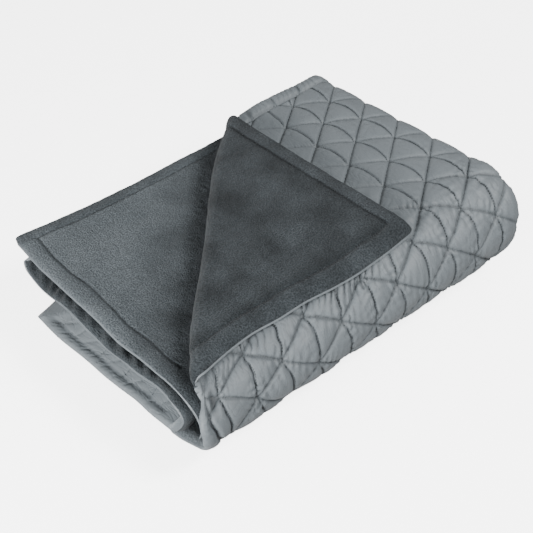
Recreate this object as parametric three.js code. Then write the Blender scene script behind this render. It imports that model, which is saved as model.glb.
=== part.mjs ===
// A quilted blanket with a fleece back, folded in half three times, with one corner turned back.
// Millimetres, +Z up. +X runs from the near hems to the far fold, and +Y from the round side fold to
// the open hems.

import * as THREE from 'three';

// Driving dimensions of the folded blanket
const LAYER_PITCH = 18.5;      // height of one layer in the stack of eight, at the near hems
const FOLDED_WIDTH = 458.75;   // from the open side hem to the outside of the round fold
const TOP_LENGTH = 606;        // flat length of a layer, from its near hem to the far fold
const SIDE_PUSH = 25;          // the side folds are pushed out by this much
const SIDE_SPREAD = 0.864;     // and spread less in width than in height
const FAR_LIFT = 0.35;         // the stack is taller by this share at the far fold
const SIDE_LIFT = -0.1;        // and by this share at the round fold
const LEFT_BOW = -4;           // how far the open side bulges out at mid length
const LOW_FOLD_INSET = [40, 47];     // axis of the small left folds, first and second half of the cloth
const INNER_HEM_INSET = [10, 46];    // side hems of the fourth and third layers, drawn in under the second
const CURL_RISE = 12;          // the fourth layer's side hem curls up
const CURL_WIDTH = 34;
const DROOP_LENGTH = 76;       // length of a near hem that droops

// The two cloths, measured from the middle of a layer towards its quilted side
const FLEECE_BACK = -6.4;
const FLEECE_FRONT = -2.9;
const QUILT_BACK = -2.5;
const QUILT_FLAT = 5.0;        // hidden quilting, pressed flat
const QUILT_SEAM = 1.6;        // along the stitched lines
const PUFF_RISE = 6.0;         // middle of a stitched triangle over its seams
const HEM_WIDTH = 25;

// Quilting: rows of stitching across the blanket, with two slanting families between their crossings
const CELL_ACROSS = 74.8;      // crossings along one row
const ROW_PITCH = 53.2;        // one row to the next
const FIRST_CROSSING = [7.4, 40.1];  // from the side hem and from the near hem
const PRESSED_SIDE = [1.0, 1.1];     // places between which the quilting fades under the round side fold
const PRESSED_FAR = [1.4, 2.6];      // turn of the far fold over which it fades, in radians

// The turned-back corner
const CORNER_LEG = 426;        // along each hem, from the corner to the fold line
const CORNER_RADIUS = 8;
const TUCK = 13;               // the near end of its fold line is pulled in by this much
const TUCK_WIDTH = 60;
const CORNER_TIP = 5;          // half width of the blunt tip
const CORNER_EASE = 30;        // quilting is pressed flat this near to its fold line
const SNAP = 1;                // grid points this near to the fold line lie on it

// Steps of the surface grids
const SIDE_FOLD_STEPS = 10;
const FAR_FOLD_STEPS = 6;
const LEFT_FOLD_STEPS = 4;
const HIDDEN_STEPS = 6;
const SECOND_STEPS = 8;
const LOWER_LENGTHS = [0.8, 0.55, 0.3, 0.14, 0.09, 0.045, 0];   // shares, close where hems droop
const CORNER_FOLD_STEPS = 6;
const CORNER_FLAT_STEPS = 5;
const CORNER_SHARES = [-1, -0.9, -0.8, -0.6, -0.3, 0, 0.3, 0.6, 0.8, 1];   // close where the corner rounds
const EDGE_STEPS = 4;          // a plain face keeps these steps beside a hem
const PLAIN_STRIDE = 5;        // and one step of these elsewhere
const SHORT_STEP = 0.2;        // a step shorter than this share is joined to the next
const ARC_ROUNDS = 8;          // rounds of correction when a length is turned into an angle

// Places across the folded cloth: 0 top layer's side hem, 1 round side fold, 2 small left fold,
// 3 second side fold, 4 second layer's side hem. Each fold spans a little to both sides of its number.
const SIDE_FOLD_SPAN = [0.9, 1.1];
const LEFT_FOLD_SPAN = [1.9, 2.1];
const SECOND_FOLD_SPAN = [2.9, 3.1];
const LAST_PLACE = 4;
const SIDE_FOLD_TURN = (SIDE_FOLD_SPAN[1] - SIDE_FOLD_SPAN[0]) / Math.PI;

// Each near hem as it lies. reach: out past the stack. drop: droop of the edge.
const FIRST_HEM = [
  { place: 0.0, reach: 0, drop: 0 },
  { place: 0.93, reach: 0, drop: 0 },
  { place: 0.945, reach: 9, drop: 0 },
  { place: 0.975, reach: 16, drop: 0 },
  { place: 1.0, reach: 11, drop: 0 },
  { place: 1.03, reach: -1, drop: 0 },
  { place: 1.06, reach: -4, drop: 0 },
  { place: 1.1, reach: -1, drop: 0 },
  { place: 1.17, reach: 2, drop: 0 },
  { place: 1.24, reach: -30, drop: 0 },
  { place: 1.4, reach: -90, drop: 0 },
  { place: 2.84, reach: -90, drop: 0 },
  { place: 2.92, reach: -30, drop: 0 },
  { place: 2.98, reach: 0, drop: -1 },
  { place: 3.15, reach: 6, drop: -2 },
  { place: 3.33, reach: 8, drop: 4 },
  { place: 3.46, reach: 8, drop: -2 },
  { place: 3.6, reach: 7, drop: 1 },
  { place: 3.78, reach: 6, drop: 5 },
  { place: 4.0, reach: 2, drop: 1 },
];
const SECOND_HEM = [
  { place: 0.0, reach: 2, drop: 4 },
  { place: 0.4, reach: 8, drop: 4 },
  { place: 0.75, reach: 7, drop: 1 },
  { place: 0.9, reach: 6, drop: -6 },
  { place: 1.0, reach: 5, drop: 5 },
  { place: 1.1, reach: 4, drop: 38 },
  { place: 1.25, reach: 6, drop: 43 },
  { place: 1.5, reach: 10, drop: 47 },
  { place: 1.7, reach: 14, drop: 48 },
  { place: 2.3, reach: -56, drop: 12 },
  { place: 2.6, reach: -56, drop: 2 },
  { place: 4.0, reach: -56, drop: 0 },
];

const HALF_PITCH = LAYER_PITCH / 2;
const TOP_OVER_AXIS = 3.5 * LAYER_PITCH;              // middle of the top layer over the side fold's axis
const FAR_OVER_AXIS = 1.5 * LAYER_PITCH;              // and over the far fold's axis
const STACK_HEIGHT = 8 * LAYER_PITCH;
const SIDE_RADIUS = TOP_OVER_AXIS + QUILT_FLAT;       // outside of the round side fold
const FAR_RADIUS = FAR_OVER_AXIS + QUILT_FLAT;        // outside of the far fold
const SIDE_REACH = SIDE_PUSH + SIDE_SPREAD * SIDE_RADIUS;
const TOP_WIDTH = FOLDED_WIDTH - SIDE_REACH;          // flat width of a layer
const ARC_RADIUS = (SIDE_REACH + SIDE_RADIUS) / 2;    // mean radius of the round side fold
const ARC_SWING = (SIDE_REACH - SIDE_RADIUS) / 4;     // and how far its arc runs ahead of that
const FLOOR = HALF_PITCH - QUILT_FLAT;

const smooth = (f) => {
  const c = Math.min(Math.max(f, 0), 1);
  return c * c * (3 - 2 * c);
};

const mix = (from, to, f) => from + (to - from) * f;

const fade = (value, [from, to]) => 1 - smooth((value - from) / (to - from));

// Value of one column of a hem table at a place, eased from row to row.
function hemValue(table, place, column) {
  const last = table.length - 1;
  if (place >= table[last].place) return table[last][column];
  const row = table.findIndex((entry) => entry.place > place) - 1;
  const share = (place - table[row].place) / (table[row + 1].place - table[row].place);
  return mix(table[row][column], table[row + 1][column], smooth(share));
}

// Length of cloth round the side fold up to a turn, and the turn at a length.
const foldLength = (turn) => ARC_RADIUS * turn + ARC_SWING * Math.sin(2 * turn);

function foldTurn(length) {
  let turn = length / ARC_RADIUS;
  for (let i = 0; i < ARC_ROUNDS; i += 1) turn = (length - ARC_SWING * Math.sin(2 * turn)) / ARC_RADIUS;
  return turn;
}

// Bubble of a stitched triangle: 27 times the product of its barycentric coordinates, 1 in the middle.
function bubble(across, along) {
  const shares = [along, across - along / 2, -across - along / 2].map((f) => f - Math.floor(f));
  const downward = shares[0] + shares[1] + shares[2] > 1.5;
  return 27 * shares.reduce((product, f) => product * (downward ? 1 - f : f), 1);
}

// How far a flat place lies past the fold line of the turned corner, and how far along that line.
function cornerPlace(section, length) {
  const inTop = section.place <= SIDE_FOLD_SPAN[1] && length.far === 0;
  const past = inTop ? (CORNER_LEG - section.developed - length.developed) * Math.SQRT1_2 : -CORNER_LEG;
  return {
    past: Math.abs(past) < SNAP ? 0 : past,
    side: (length.developed - section.developed) * Math.SQRT1_2,
  };
}

// Quilted side over the middle of its layer: raised where it shows, pressed flat inside the stack.
function quiltFace(section, length) {
  const shown = fade(section.place, PRESSED_SIDE) * fade(length.far, PRESSED_FAR);
  const edge = Math.min(section.developed, length.developed) / HEM_WIDTH;
  const across = (section.developed - FIRST_CROSSING[0]) / CELL_ACROSS;
  const along = (length.developed - FIRST_CROSSING[1]) / ROW_PITCH;
  const raised = QUILT_SEAM + PUFF_RISE * bubble(across, along);
  const hemmed = mix((QUILT_SEAM + QUILT_FLAT) / 2, raised, smooth(edge));
  const eased = mix(QUILT_SEAM, hemmed, smooth(-cornerPlace(section, length).past / CORNER_EASE));
  return mix(QUILT_FLAT, eased, shown);
}

// Stations across the cloth: a flat layer, the round side fold, a layer back, the small left fold,
// a layer out, the second side fold and the last layer, which ends above the others.
function sectionStations() {
  const stations = [];
  const add = (steps, from, at) => {
    for (let i = from; i <= steps; i += 1) stations.push(at(i / steps));
  };
  const layer = (f, place, right, left) => ({ flat: f, place, right, left });
  for (const across of quiltSteps(FIRST_CROSSING[0], CELL_ACROSS / 4, TOP_WIDTH + foldLength(Math.PI))) {
    const flat = Math.min(across / TOP_WIDTH, 1);
    const turn = foldTurn(Math.max(across - TOP_WIDTH, 0));
    stations.push(layer(flat, SIDE_FOLD_SPAN[0] * flat + SIDE_FOLD_TURN * turn, turn, 0));
  }
  add(HIDDEN_STEPS, 1, (f) => layer(1 - f, mix(SIDE_FOLD_SPAN[1], LEFT_FOLD_SPAN[0], f), Math.PI, 0));
  add(LEFT_FOLD_STEPS, 1, (f) => layer(0, mix(...LEFT_FOLD_SPAN, f), Math.PI, Math.PI * f));
  add(HIDDEN_STEPS, 1, (f) => layer(f, mix(LEFT_FOLD_SPAN[1], SECOND_FOLD_SPAN[0], f), Math.PI, Math.PI));
  add(SIDE_FOLD_STEPS, 1, (f) => layer(1, mix(...SECOND_FOLD_SPAN, f), Math.PI * (1 - f), Math.PI));
  add(SECOND_STEPS, 1, (f) => layer(1 - f, mix(SECOND_FOLD_SPAN[1], LAST_PLACE, f), 0, Math.PI));
  stations.forEach((s) => { s.developed = s.flat * TOP_WIDTH + foldLength(s.right); });
  return stations;
}

// Positions from a hem to an end that fall on the quilting: even steps that pass through a crossing.
function quiltSteps(crossing, step, end) {
  const positions = [0];
  for (let at = crossing % step; at < end - step * SHORT_STEP; at += step) positions.push(at);
  return [...positions, end];
}

// Stations along the cloth: the first half, the far fold and the second half back to the near end.
function lengthStations() {
  const stations = [];
  for (const at of quiltSteps(FIRST_CROSSING[1], ROW_PITCH / 2, TOP_LENGTH)) {
    stations.push({ along: at / TOP_LENGTH, far: 0 });
  }
  for (let i = 1; i <= FAR_FOLD_STEPS; i += 1) stations.push({ along: 1, far: Math.PI * i / FAR_FOLD_STEPS });
  for (const along of LOWER_LENGTHS) stations.push({ along, far: Math.PI });
  stations.forEach((s) => { s.developed = s.along * TOP_LENGTH + s.far * FAR_RADIUS; });
  return stations;
}

// Where a layer's open side hem or small left fold begins, eased from the first half to the second.
function leftInset(section, half) {
  const lowFold = mix(LOW_FOLD_INSET[0], LOW_FOLD_INSET[1], half);
  const hem = half * (section.place < 2 ? INNER_HEM_INSET[0] : INNER_HEM_INSET[1]);
  return mix(hem, lowFold, smooth(section.right / Math.PI));
}

// Pull on the top layer round the near end of the corner's fold line, fading like a bell.
function tuck(x, developed) {
  const distance = Math.hypot(x, developed - CORNER_LEG);
  return TUCK * Math.exp(-((distance / TUCK_WIDTH) ** 2)) * Math.SQRT1_2;
}

// Point of the folded cloth: the layer is bent round the left fold, then the far fold, then the side fold.
// rise is the height over the middle of the layer, towards its quilted side.
function foldedPoint(section, length, rise) {
  const half = length.far / Math.PI;
  const inset = leftInset(section, half);
  const overLeft = HALF_PITCH + rise;
  const width = mix(inset, TOP_WIDTH, section.flat) - overLeft * Math.sin(section.left);
  const overFar = LAYER_PITCH + overLeft * Math.cos(section.left);
  const overSide = 2 * LAYER_PITCH + overFar * Math.cos(length.far);
  const hem = (column) => mix(
    hemValue(FIRST_HEM, section.place, column),
    hemValue(SECOND_HEM, section.place, column),
    half,
  );
  const reach = hem('reach');
  const droop = hem('drop') * (1 - smooth(length.along * TOP_LENGTH / DROOP_LENGTH));
  const curl = CURL_RISE * smooth(half * 2 - 1) * (1 - smooth(section.flat * TOP_WIDTH / CURL_WIDTH));
  const inTop = section.place <= SIDE_FOLD_SPAN[1] && length.far === 0;
  const pull = inTop ? tuck(length.developed, section.developed) : 0;
  return settled(
    length.along * TOP_LENGTH - reach * (1 - length.along) + overFar * Math.sin(length.far) + pull,
    width + (SIDE_PUSH + SIDE_SPREAD * overSide) * Math.sin(section.right) + pull,
    STACK_HEIGHT / 2 + overSide * Math.cos(section.right) - droop + (section.place < 0.5 ? curl : 0),
  );
}

// The stack as it settles: it is taller towards its far fold, and its open side bows at mid length.
function settled(x, width, z) {
  const bow = LEFT_BOW * Math.sin(Math.PI * Math.min(Math.max(x / TOP_LENGTH, 0), 1));
  const y = FOLDED_WIDTH - width + bow * (1 - width / FOLDED_WIDTH);
  const lift = 1 + FAR_LIFT * x / TOP_LENGTH + SIDE_LIFT * width / FOLDED_WIDTH;
  return new THREE.Vector3(x, y, FLOOR + (z - FLOOR) * lift);
}

// Point of the top layer, laid out flat as far as the round side fold and then bent round it.
function topPoint(x, developed, rise) {
  const over = TOP_OVER_AXIS + rise;
  const turn = foldTurn(Math.max(developed - TOP_WIDTH, 0));
  const width = Math.min(developed, TOP_WIDTH) + (SIDE_PUSH + SIDE_SPREAD * over) * Math.sin(turn);
  const pull = tuck(x, developed);
  return settled(x + pull, width + pull, STACK_HEIGHT / 2 + over * Math.cos(turn));
}

// Point of the turned corner: past is the distance past its fold line, side the place along that line.
function cornerPoint(past, side, rise) {
  const turn = Math.min(Math.max(past / CORNER_RADIUS, 0), Math.PI);
  const inside = CORNER_RADIUS - rise;
  const beyond = past - turn * CORNER_RADIUS;
  const out = inside * Math.sin(turn) - (past > 0 ? beyond : -beyond);
  const height = CORNER_RADIUS - inside * Math.cos(turn);
  const middle = CORNER_LEG / 2 - out * Math.SQRT1_2;
  return topPoint(middle + side * Math.SQRT1_2, middle - side * Math.SQRT1_2, height);
}

// Triangles between two rows of points that share their ends, facing the way the grid's cells do.
function lace(near, far, triangles) {
  let i = 0;
  let j = 0;
  while (i + 1 < near.length || j + 1 < far.length) {
    const nearNext = i + 1 < near.length ? near[i + 1].step : Infinity;
    const farNext = j + 1 < far.length ? far[j + 1].step : Infinity;
    if (nearNext < farNext) {
      triangles.push([near[i], far[j], near[i + 1]]);
      i += 1;
    } else {
      triangles.push([near[i], far[j], far[j + 1]]);
      j += 1;
    }
  }
}

// Two triangles of each cell between two rows, with the diagonal on the stitched line that may run
// through it.
function cells(near, far, slant, triangles) {
  for (let j = 0; j + 1 < near.length; j += 1) {
    const [a, b, c, d] = [near[j], far[j], far[j + 1], near[j + 1]];
    if ((slant - j) % 2 === 0) triangles.push([a, b, c], [a, c, d]);
    else triangles.push([a, b, d], [b, c, d]);
  }
}

// Grid triangles over rows of points. Rows with different numbers of points are laced together.
function weave(rows) {
  const triangles = [];
  for (let i = 0; i + 1 < rows.length; i += 1) {
    if (rows[i].length === rows[i + 1].length) cells(rows[i], rows[i + 1], i + 1, triangles);
    else lace(rows[i], rows[i + 1], triangles);
  }
  return triangles;
}

// Triangles cut along the fold line of the turned corner, and the points on that line in their order.
function clippedAtFold(triangles, foldPoint) {
  const kept = [];
  const onLine = new Map();
  const between = (p, q) => {
    const key = p.id < q.id ? `${p.id}:${q.id}` : `${q.id}:${p.id}`;
    if (!onLine.has(key)) onLine.set(key, foldPoint(mix(p.side, q.side, p.past / (p.past - q.past))));
    return onLine.get(key);
  };
  for (const triangle of triangles) {
    if (!triangle.some((p) => p.past < 0)) continue;
    const outline = [];
    triangle.forEach((p, k) => {
      const q = triangle[(k + 1) % 3];
      if (p.past === 0) onLine.set(p.id, p);
      if (p.past <= 0) outline.push(p);
      if (p.past * q.past < 0) outline.push(between(p, q));
    });
    for (let k = 1; k + 1 < outline.length; k += 1) kept.push([outline[0], outline[k], outline[k + 1]]);
  }
  const line = [...onLine.values()].sort((p, q) => p.side - q.side);
  return { kept, line };
}

// One face of the folded sheet with its corner turned back. grid is a list of { row, steps }: a row of
// points at the length stations numbered in steps. rise is the face's height, turned that of the corner.
function sheetFace(grid, rise, turned, positions) {
  const vertex = (at, fields) => {
    positions.push(...at.toArray());
    return { id: positions.length / 3 - 1, ...fields };
  };
  const rows = grid.map(({ row, steps }) => steps.map((step) => {
    const [section, length] = [sections[row], lengths[step]];
    const at = foldedPoint(section, length, rise(section, length));
    return vertex(at, { row, step, ...cornerPlace(section, length) });
  }));
  const half = CORNER_LEG * Math.SQRT1_2;
  const foldPoint = (side) => vertex(cornerPoint(0, side, turned), { side, past: 0 });
  const { kept, line } = clippedAtFold(weave(rows), foldPoint);
  const corner = [line.map((p) => ({ ...p, step: p.side / half }))];
  for (const past of cornerRows(half)) {
    corner.push(CORNER_SHARES.map((share) => {
      const side = share * (half - past);
      return vertex(cornerPoint(past, side, turned), { step: share, past });
    }));
  }
  for (let k = 0; k + 1 < corner.length; k += 1) lace(corner[k + 1], corner[k], kept);
  const cornerEdge = (end) => corner
    .map((row) => ({ id: row.at(end).id, step: -row.at(end).past }))
    .reverse();
  const openRows = rows.map((row) => row[0]).filter((p) => p.past < 0);
  const lastRows = rows.map((row) => row.at(-1));
  return {
    triangles: kept,
    tip: corner.at(-1),
    sideHem: [...cornerEdge(-1), ...rows[0].filter((p) => p.past < 0)],
    nearHem: [...cornerEdge(0), ...openRows.map(({ id, row }) => ({ id, step: row }))],
    otherSideHem: rows.at(-1),
    otherNearHem: lastRows.map(({ id, row }) => ({ id, step: row })),
  };
}

// Distances past the fold line of the turned corner's rows: round the fold, then flat to the blunt tip.
function cornerRows(half) {
  const round = Math.PI * CORNER_RADIUS;
  const flat = half - CORNER_TIP - round;
  const rows = [];
  for (let i = 1; i <= CORNER_FOLD_STEPS; i += 1) rows.push(round * i / CORNER_FOLD_STEPS);
  for (let i = 1; i <= CORNER_FLAT_STEPS; i += 1) rows.push(round + flat * i / CORNER_FLAT_STEPS);
  return rows;
}

const sections = sectionStations();
const lengths = lengthStations();
const topRows = sections.findIndex((section) => section.right > 0) - 1;
const shownRows = sections.findIndex((section) => section.right === Math.PI);
const farStart = lengths.findIndex((length) => length.far > 0) - 1;
const everyLength = lengths.map((unused, j) => j);
const fewLengths = everyLength.filter((j) => j >= farStart || j < EDGE_STEPS || j % PLAIN_STRIDE === 1);
const fineGrid = sections.map((unused, row) => ({ row, steps: row <= shownRows ? everyLength : fewLengths }));
const coarseGrid = fineGrid
  .filter(({ row }) => row >= topRows || row < EDGE_STEPS || row % PLAIN_STRIDE === 1)
  .map(({ row }) => ({ row, steps: fewLengths }));

// One cloth of the blanket: a closed shell of its two faces, joined along its hems.
function clothPanel(name, material, frontGrid, frontRise, cornerRise, backRise) {
  const positions = [];
  const front = sheetFace(frontGrid, frontRise, cornerRise, positions);
  const back = sheetFace(coarseGrid, () => backRise, backRise, positions);
  const triangles = [...front.triangles, ...back.triangles.map(([a, b, c]) => [a, c, b])];
  lace(back.tip, front.tip, triangles);
  lace(back.sideHem, front.sideHem, triangles);
  lace(front.nearHem, back.nearHem, triangles);
  lace(front.otherSideHem, back.otherSideHem, triangles);
  lace(back.otherNearHem, front.otherNearHem, triangles);
  const geometry = new THREE.BufferGeometry();
  geometry.setAttribute('position', new THREE.Float32BufferAttribute(positions, 3));
  geometry.setIndex(triangles.flat().map((p) => p.id));
  const mesh = new THREE.Mesh(geometry, material);
  mesh.name = name;
  return mesh;
}

const quiltCloth = new THREE.MeshStandardMaterial({ color: 0x7c8388, roughness: 0.6, metalness: 0 });
const fleeceCloth = new THREE.MeshStandardMaterial({ color: 0x484d51, roughness: 0.95, metalness: 0 });

const quiltedFace = clothPanel('quilted_face', quiltCloth, fineGrid, quiltFace, QUILT_SEAM, QUILT_BACK);
const fleeceBack = clothPanel(
  'fleece_back',
  fleeceCloth,
  coarseGrid,
  () => FLEECE_FRONT,
  FLEECE_FRONT,
  FLEECE_BACK,
);

const blanket = new THREE.Group();
blanket.add(quiltedFace, fleeceBack);

// The origin is under the middle of the folded blanket, on the surface that it lies on.
const box = new THREE.Box3().setFromObject(blanket);
const centre = box.getCenter(new THREE.Vector3());
blanket.position.set(-centre.x, -centre.y, -box.min.z);
blanket.updateMatrixWorld(true);

export default blanket;
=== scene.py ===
# %% [markdown]
# # A folded heated blanket
#
# The blanket is two cloths sewn together along their hems: a quilted face and a fleece back. It is folded
# in half three times, and one corner of the top layer is turned back so that the fleece shows.
# This lesson makes each cloth as one long surface over two numbers, "cross" and "run", which say where a
# point lies on the flat blanket. One function then folds the flat cloth, and each finish is a height
# over that folded cloth. Everything is in metres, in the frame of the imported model.

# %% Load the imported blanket
import math
import bpy
import numpy as np
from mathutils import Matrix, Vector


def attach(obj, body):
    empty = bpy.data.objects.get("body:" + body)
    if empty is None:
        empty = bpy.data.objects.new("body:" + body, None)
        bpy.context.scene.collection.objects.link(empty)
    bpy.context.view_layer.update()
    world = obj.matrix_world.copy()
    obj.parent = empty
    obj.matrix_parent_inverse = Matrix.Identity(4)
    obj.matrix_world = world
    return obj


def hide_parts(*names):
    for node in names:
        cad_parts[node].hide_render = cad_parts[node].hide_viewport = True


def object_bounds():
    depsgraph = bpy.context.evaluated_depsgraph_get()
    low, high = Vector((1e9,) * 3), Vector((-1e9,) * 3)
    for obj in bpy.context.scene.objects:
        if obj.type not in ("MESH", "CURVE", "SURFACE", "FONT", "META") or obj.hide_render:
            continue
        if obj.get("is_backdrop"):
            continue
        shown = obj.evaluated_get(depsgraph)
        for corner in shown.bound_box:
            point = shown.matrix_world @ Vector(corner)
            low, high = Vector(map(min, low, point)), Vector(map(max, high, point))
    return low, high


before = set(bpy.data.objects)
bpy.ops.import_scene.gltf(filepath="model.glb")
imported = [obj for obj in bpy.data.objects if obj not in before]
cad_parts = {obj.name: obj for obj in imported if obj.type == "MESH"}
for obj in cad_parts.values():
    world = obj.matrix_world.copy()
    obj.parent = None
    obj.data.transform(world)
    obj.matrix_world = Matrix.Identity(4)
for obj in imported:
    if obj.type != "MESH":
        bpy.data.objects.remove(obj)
cad_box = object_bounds()
print("packed blanket:", [list(map(float, corner)) for corner in cad_box])

# %% [markdown]
# ## The camera
#
# The photograph looks down at about forty degrees on the corner where the near hems meet the round side
# fold. Its square picture has a field of view of about 31 degrees. The camera could be placed by hand, but
# an azimuth, an elevation and a distance to one target point are easier to read and to change.

# %% Place the camera
PHOTO_SIZE = 533
FOCAL_PIXELS = 950.0
SENSOR_WIDTH = 36.0
CAMERA_AZIMUTH = math.radians(-41.61)
CAMERA_ELEVATION = math.radians(38.42)
CAMERA_DISTANCE = 1.4753
FOLD_ORIGIN = np.array([0.314052, 0.228080, 0.00425])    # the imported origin, in the folds' own coordinates
CAMERA_TARGET = np.array([0.2920, 0.2227, 0.0600]) - FOLD_ORIGIN


def add_object(name, data):
    """New object in the scene, at the origin, from its data."""
    added = bpy.data.objects.new(name, data)
    bpy.context.scene.collection.objects.link(added)
    return added


def add_camera():
    """Camera on a line from the target: back = (sin a cos e, -cos a cos e, sin e)."""
    data = bpy.data.cameras.new("photo_camera")
    data.sensor_fit = "HORIZONTAL"
    data.sensor_width = SENSOR_WIDTH
    data.lens = FOCAL_PIXELS / PHOTO_SIZE * SENSOR_WIDTH
    camera = add_object("photo_camera", data)
    level = math.cos(CAMERA_ELEVATION)
    back = np.array([
        math.sin(CAMERA_AZIMUTH) * level,
        -math.cos(CAMERA_AZIMUTH) * level,
        math.sin(CAMERA_ELEVATION),
    ])
    camera.location = CAMERA_TARGET + CAMERA_DISTANCE * back
    camera.rotation_euler = (math.pi / 2 - CAMERA_ELEVATION, 0.0, CAMERA_AZIMUTH)
    bpy.context.scene.camera = camera
    return camera


camera = add_camera()
print("camera at", [round(float(c), 3) for c in camera.location])

# %% [markdown]
# ## Soft shapes
#
# Cloth has no hard steps, so a few helpers are used all through: an ease from 0 to 1, a bell, a wave, and
# unevenness. No puff or crease is quite like the next. A random value at each corner of a square lattice,
# eased between the corners, gives smooth unevenness at any scale. The values are drawn from a fixed seed,
# so that every run makes the same blanket.

# %% Eases, bells and unevenness
LATTICE = 128
NOISE_TABLE = np.random.default_rng(7).uniform(-1.0, 1.0, (LATTICE, LATTICE))


def smooth(share):
    """Ease from 0 to 1: three times the square less twice the cube."""
    held = np.clip(share, 0.0, 1.0)
    return held * held * (3 - 2 * held)


def ease(value, start, span):
    """Ease from 0 where a value is at start to 1 a span later."""
    return smooth((value - start) / span)


def between(value, first, last):
    """Ease up over the first span and down over the last, each given as a start and a span."""
    return ease(value, *first) * (1 - ease(value, *last))


def mix(start, end, share):
    """Straight blend from start to end."""
    return start + (end - start) * share


def bell(offset, width):
    """Bell of height 1: e to the power of minus the square of offset over width."""
    return np.exp(-((offset / width) ** 2))


def waves(along, pitch, sway):
    """Sine wave of a pitch, with its phase moved by a sway in radians."""
    return np.sin(2 * math.pi * along / pitch + sway)


def uneven(u, w):
    """Smooth random field, one lattice cell per unit of u and w: eased blend of four drawn values."""
    i, j = np.floor(u).astype(int), np.floor(w).astype(int)
    fu, fw = smooth(u - i), smooth(w - j)
    corner = lambda di, dj: NOISE_TABLE[(i + di) % LATTICE, (j + dj) % LATTICE]
    return mix(mix(corner(0, 0), corner(1, 0), fu), mix(corner(0, 1), corner(1, 1), fu), fw)


def patches(cross, run, size, row=0, column=0):
    """Unevenness over the flat cloth in patches of a size, from a row and column of the lattice on."""
    return uneven(cross / size + row, run / size + column)


print("unevenness from", NOISE_TABLE.size, "drawn values")

# %% [markdown]
# ## The fold
#
# A real blanket is folded by hand, and each fold bends everything that is already there. The same can be
# done with numbers: a point of the flat cloth is first bent round a small left fold, then round the far
# fold, then round the big side fold. A cloth simulation could fold a sheet too, but eight layers slip and
# tangle, and the layers then lie where the solver leaves them. Bending by formula keeps every layer in the
# place that the photograph shows.

# %% Sizes of the folded stack
LAYER_PITCH = 0.0185         # height of one layer of eight, at the near hems
FOLDED_WIDTH = 0.45875       # from the open hems to the outside of the side fold
TOP_LENGTH = 0.606           # flat length of a layer, from its near hem to the far fold
SIDE_PUSH = 0.025            # the side folds are pushed out by this much
SIDE_SPREAD = 0.864          # and spread less in width than in height
FLEECE_BACK = -0.0064        # heights over the middle of a layer, towards its quilted side
FLEECE_FRONT = -0.0029
QUILT_BACK = -0.0025
QUILT_SEAM = 0.0016
QUILT_FLAT = 0.0050

HALF_PITCH = LAYER_PITCH / 2
STACK_HEIGHT = 8 * LAYER_PITCH
TOP_OVER_AXIS = 3.5 * LAYER_PITCH
SIDE_RADIUS = TOP_OVER_AXIS + QUILT_FLAT
FAR_RADIUS = 1.5 * LAYER_PITCH + QUILT_FLAT
SIDE_REACH = SIDE_PUSH + SIDE_SPREAD * SIDE_RADIUS
TOP_WIDTH = FOLDED_WIDTH - SIDE_REACH
ARC_RADIUS = (SIDE_REACH + SIDE_RADIUS) / 2
ARC_SWING = (SIDE_REACH - SIDE_RADIUS) / 4
SIDE_ARC = math.pi * ARC_RADIUS
FAR_ARC = math.pi * FAR_RADIUS
LEFT_ARC = math.pi * HALF_PITCH

# Where each stretch of the cloth begins, across it and along it
CROSS_ENDS = np.cumsum([0, TOP_WIDTH, SIDE_ARC, TOP_WIDTH, LEFT_ARC, TOP_WIDTH, SIDE_ARC, TOP_WIDTH])
RUN_ENDS = np.cumsum([0, TOP_LENGTH, FAR_ARC, TOP_LENGTH])
print("flat cloth:", round(CROSS_ENDS[-1], 3), "x", round(RUN_ENDS[-1], 3), "m")

# %% Turns of the folds
ARC_ROUNDS = 8               # rounds of correction from a length of cloth to a turn

# A place across the cloth counts layers from one side hem to the other, with a fifth for each fold.
PLACE_SPANS = np.array([0.9, 0.2, 0.8, 0.2, 0.8, 0.2, 0.9])
SIDE_FOLD = 1.0
SIDE_FOLD_END = 1.1
LEFT_FOLD_START = 1.9
LEFT_FOLD = 2.0
SECOND_FOLD_START = 2.9
LAST_PLACE = 4.0


def fold_turn(length):
    """Turn of the wide side fold, from length = mean radius x turn + swing x sin(2 turn)."""
    turn = length / ARC_RADIUS
    for step in range(ARC_ROUNDS):
        turn = (length - ARC_SWING * np.sin(2 * turn)) / ARC_RADIUS
    return turn


def shares_before(position, ends):
    """Share of each stretch between two ends that lies before a position."""
    return [
        np.clip((position - start) / (end - start), 0.0, 1.0)
        for start, end in zip(ends[:-1], ends[1:])
    ]


def section_at(cross):
    """Share of a layer's width, turns of its side fold and left fold, and place, from those shares."""
    shares = shares_before(cross, CROSS_ENDS)
    top, side, back, left, out, second, last = shares
    place = sum(span * share for span, share in zip(PLACE_SPANS, shares))
    turn = fold_turn(SIDE_ARC * side) - fold_turn(SIDE_ARC * second)
    return top - back + out - last, turn, math.pi * left, place


def length_at(run):
    """Share of a layer's length from the near end, and the turn of the far fold."""
    first, far, second = shares_before(run, RUN_ENDS)
    return first - second, math.pi * far


print("turn half way round the side fold:", round(math.degrees(fold_turn(SIDE_ARC / 2)), 1), "degrees")
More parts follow.
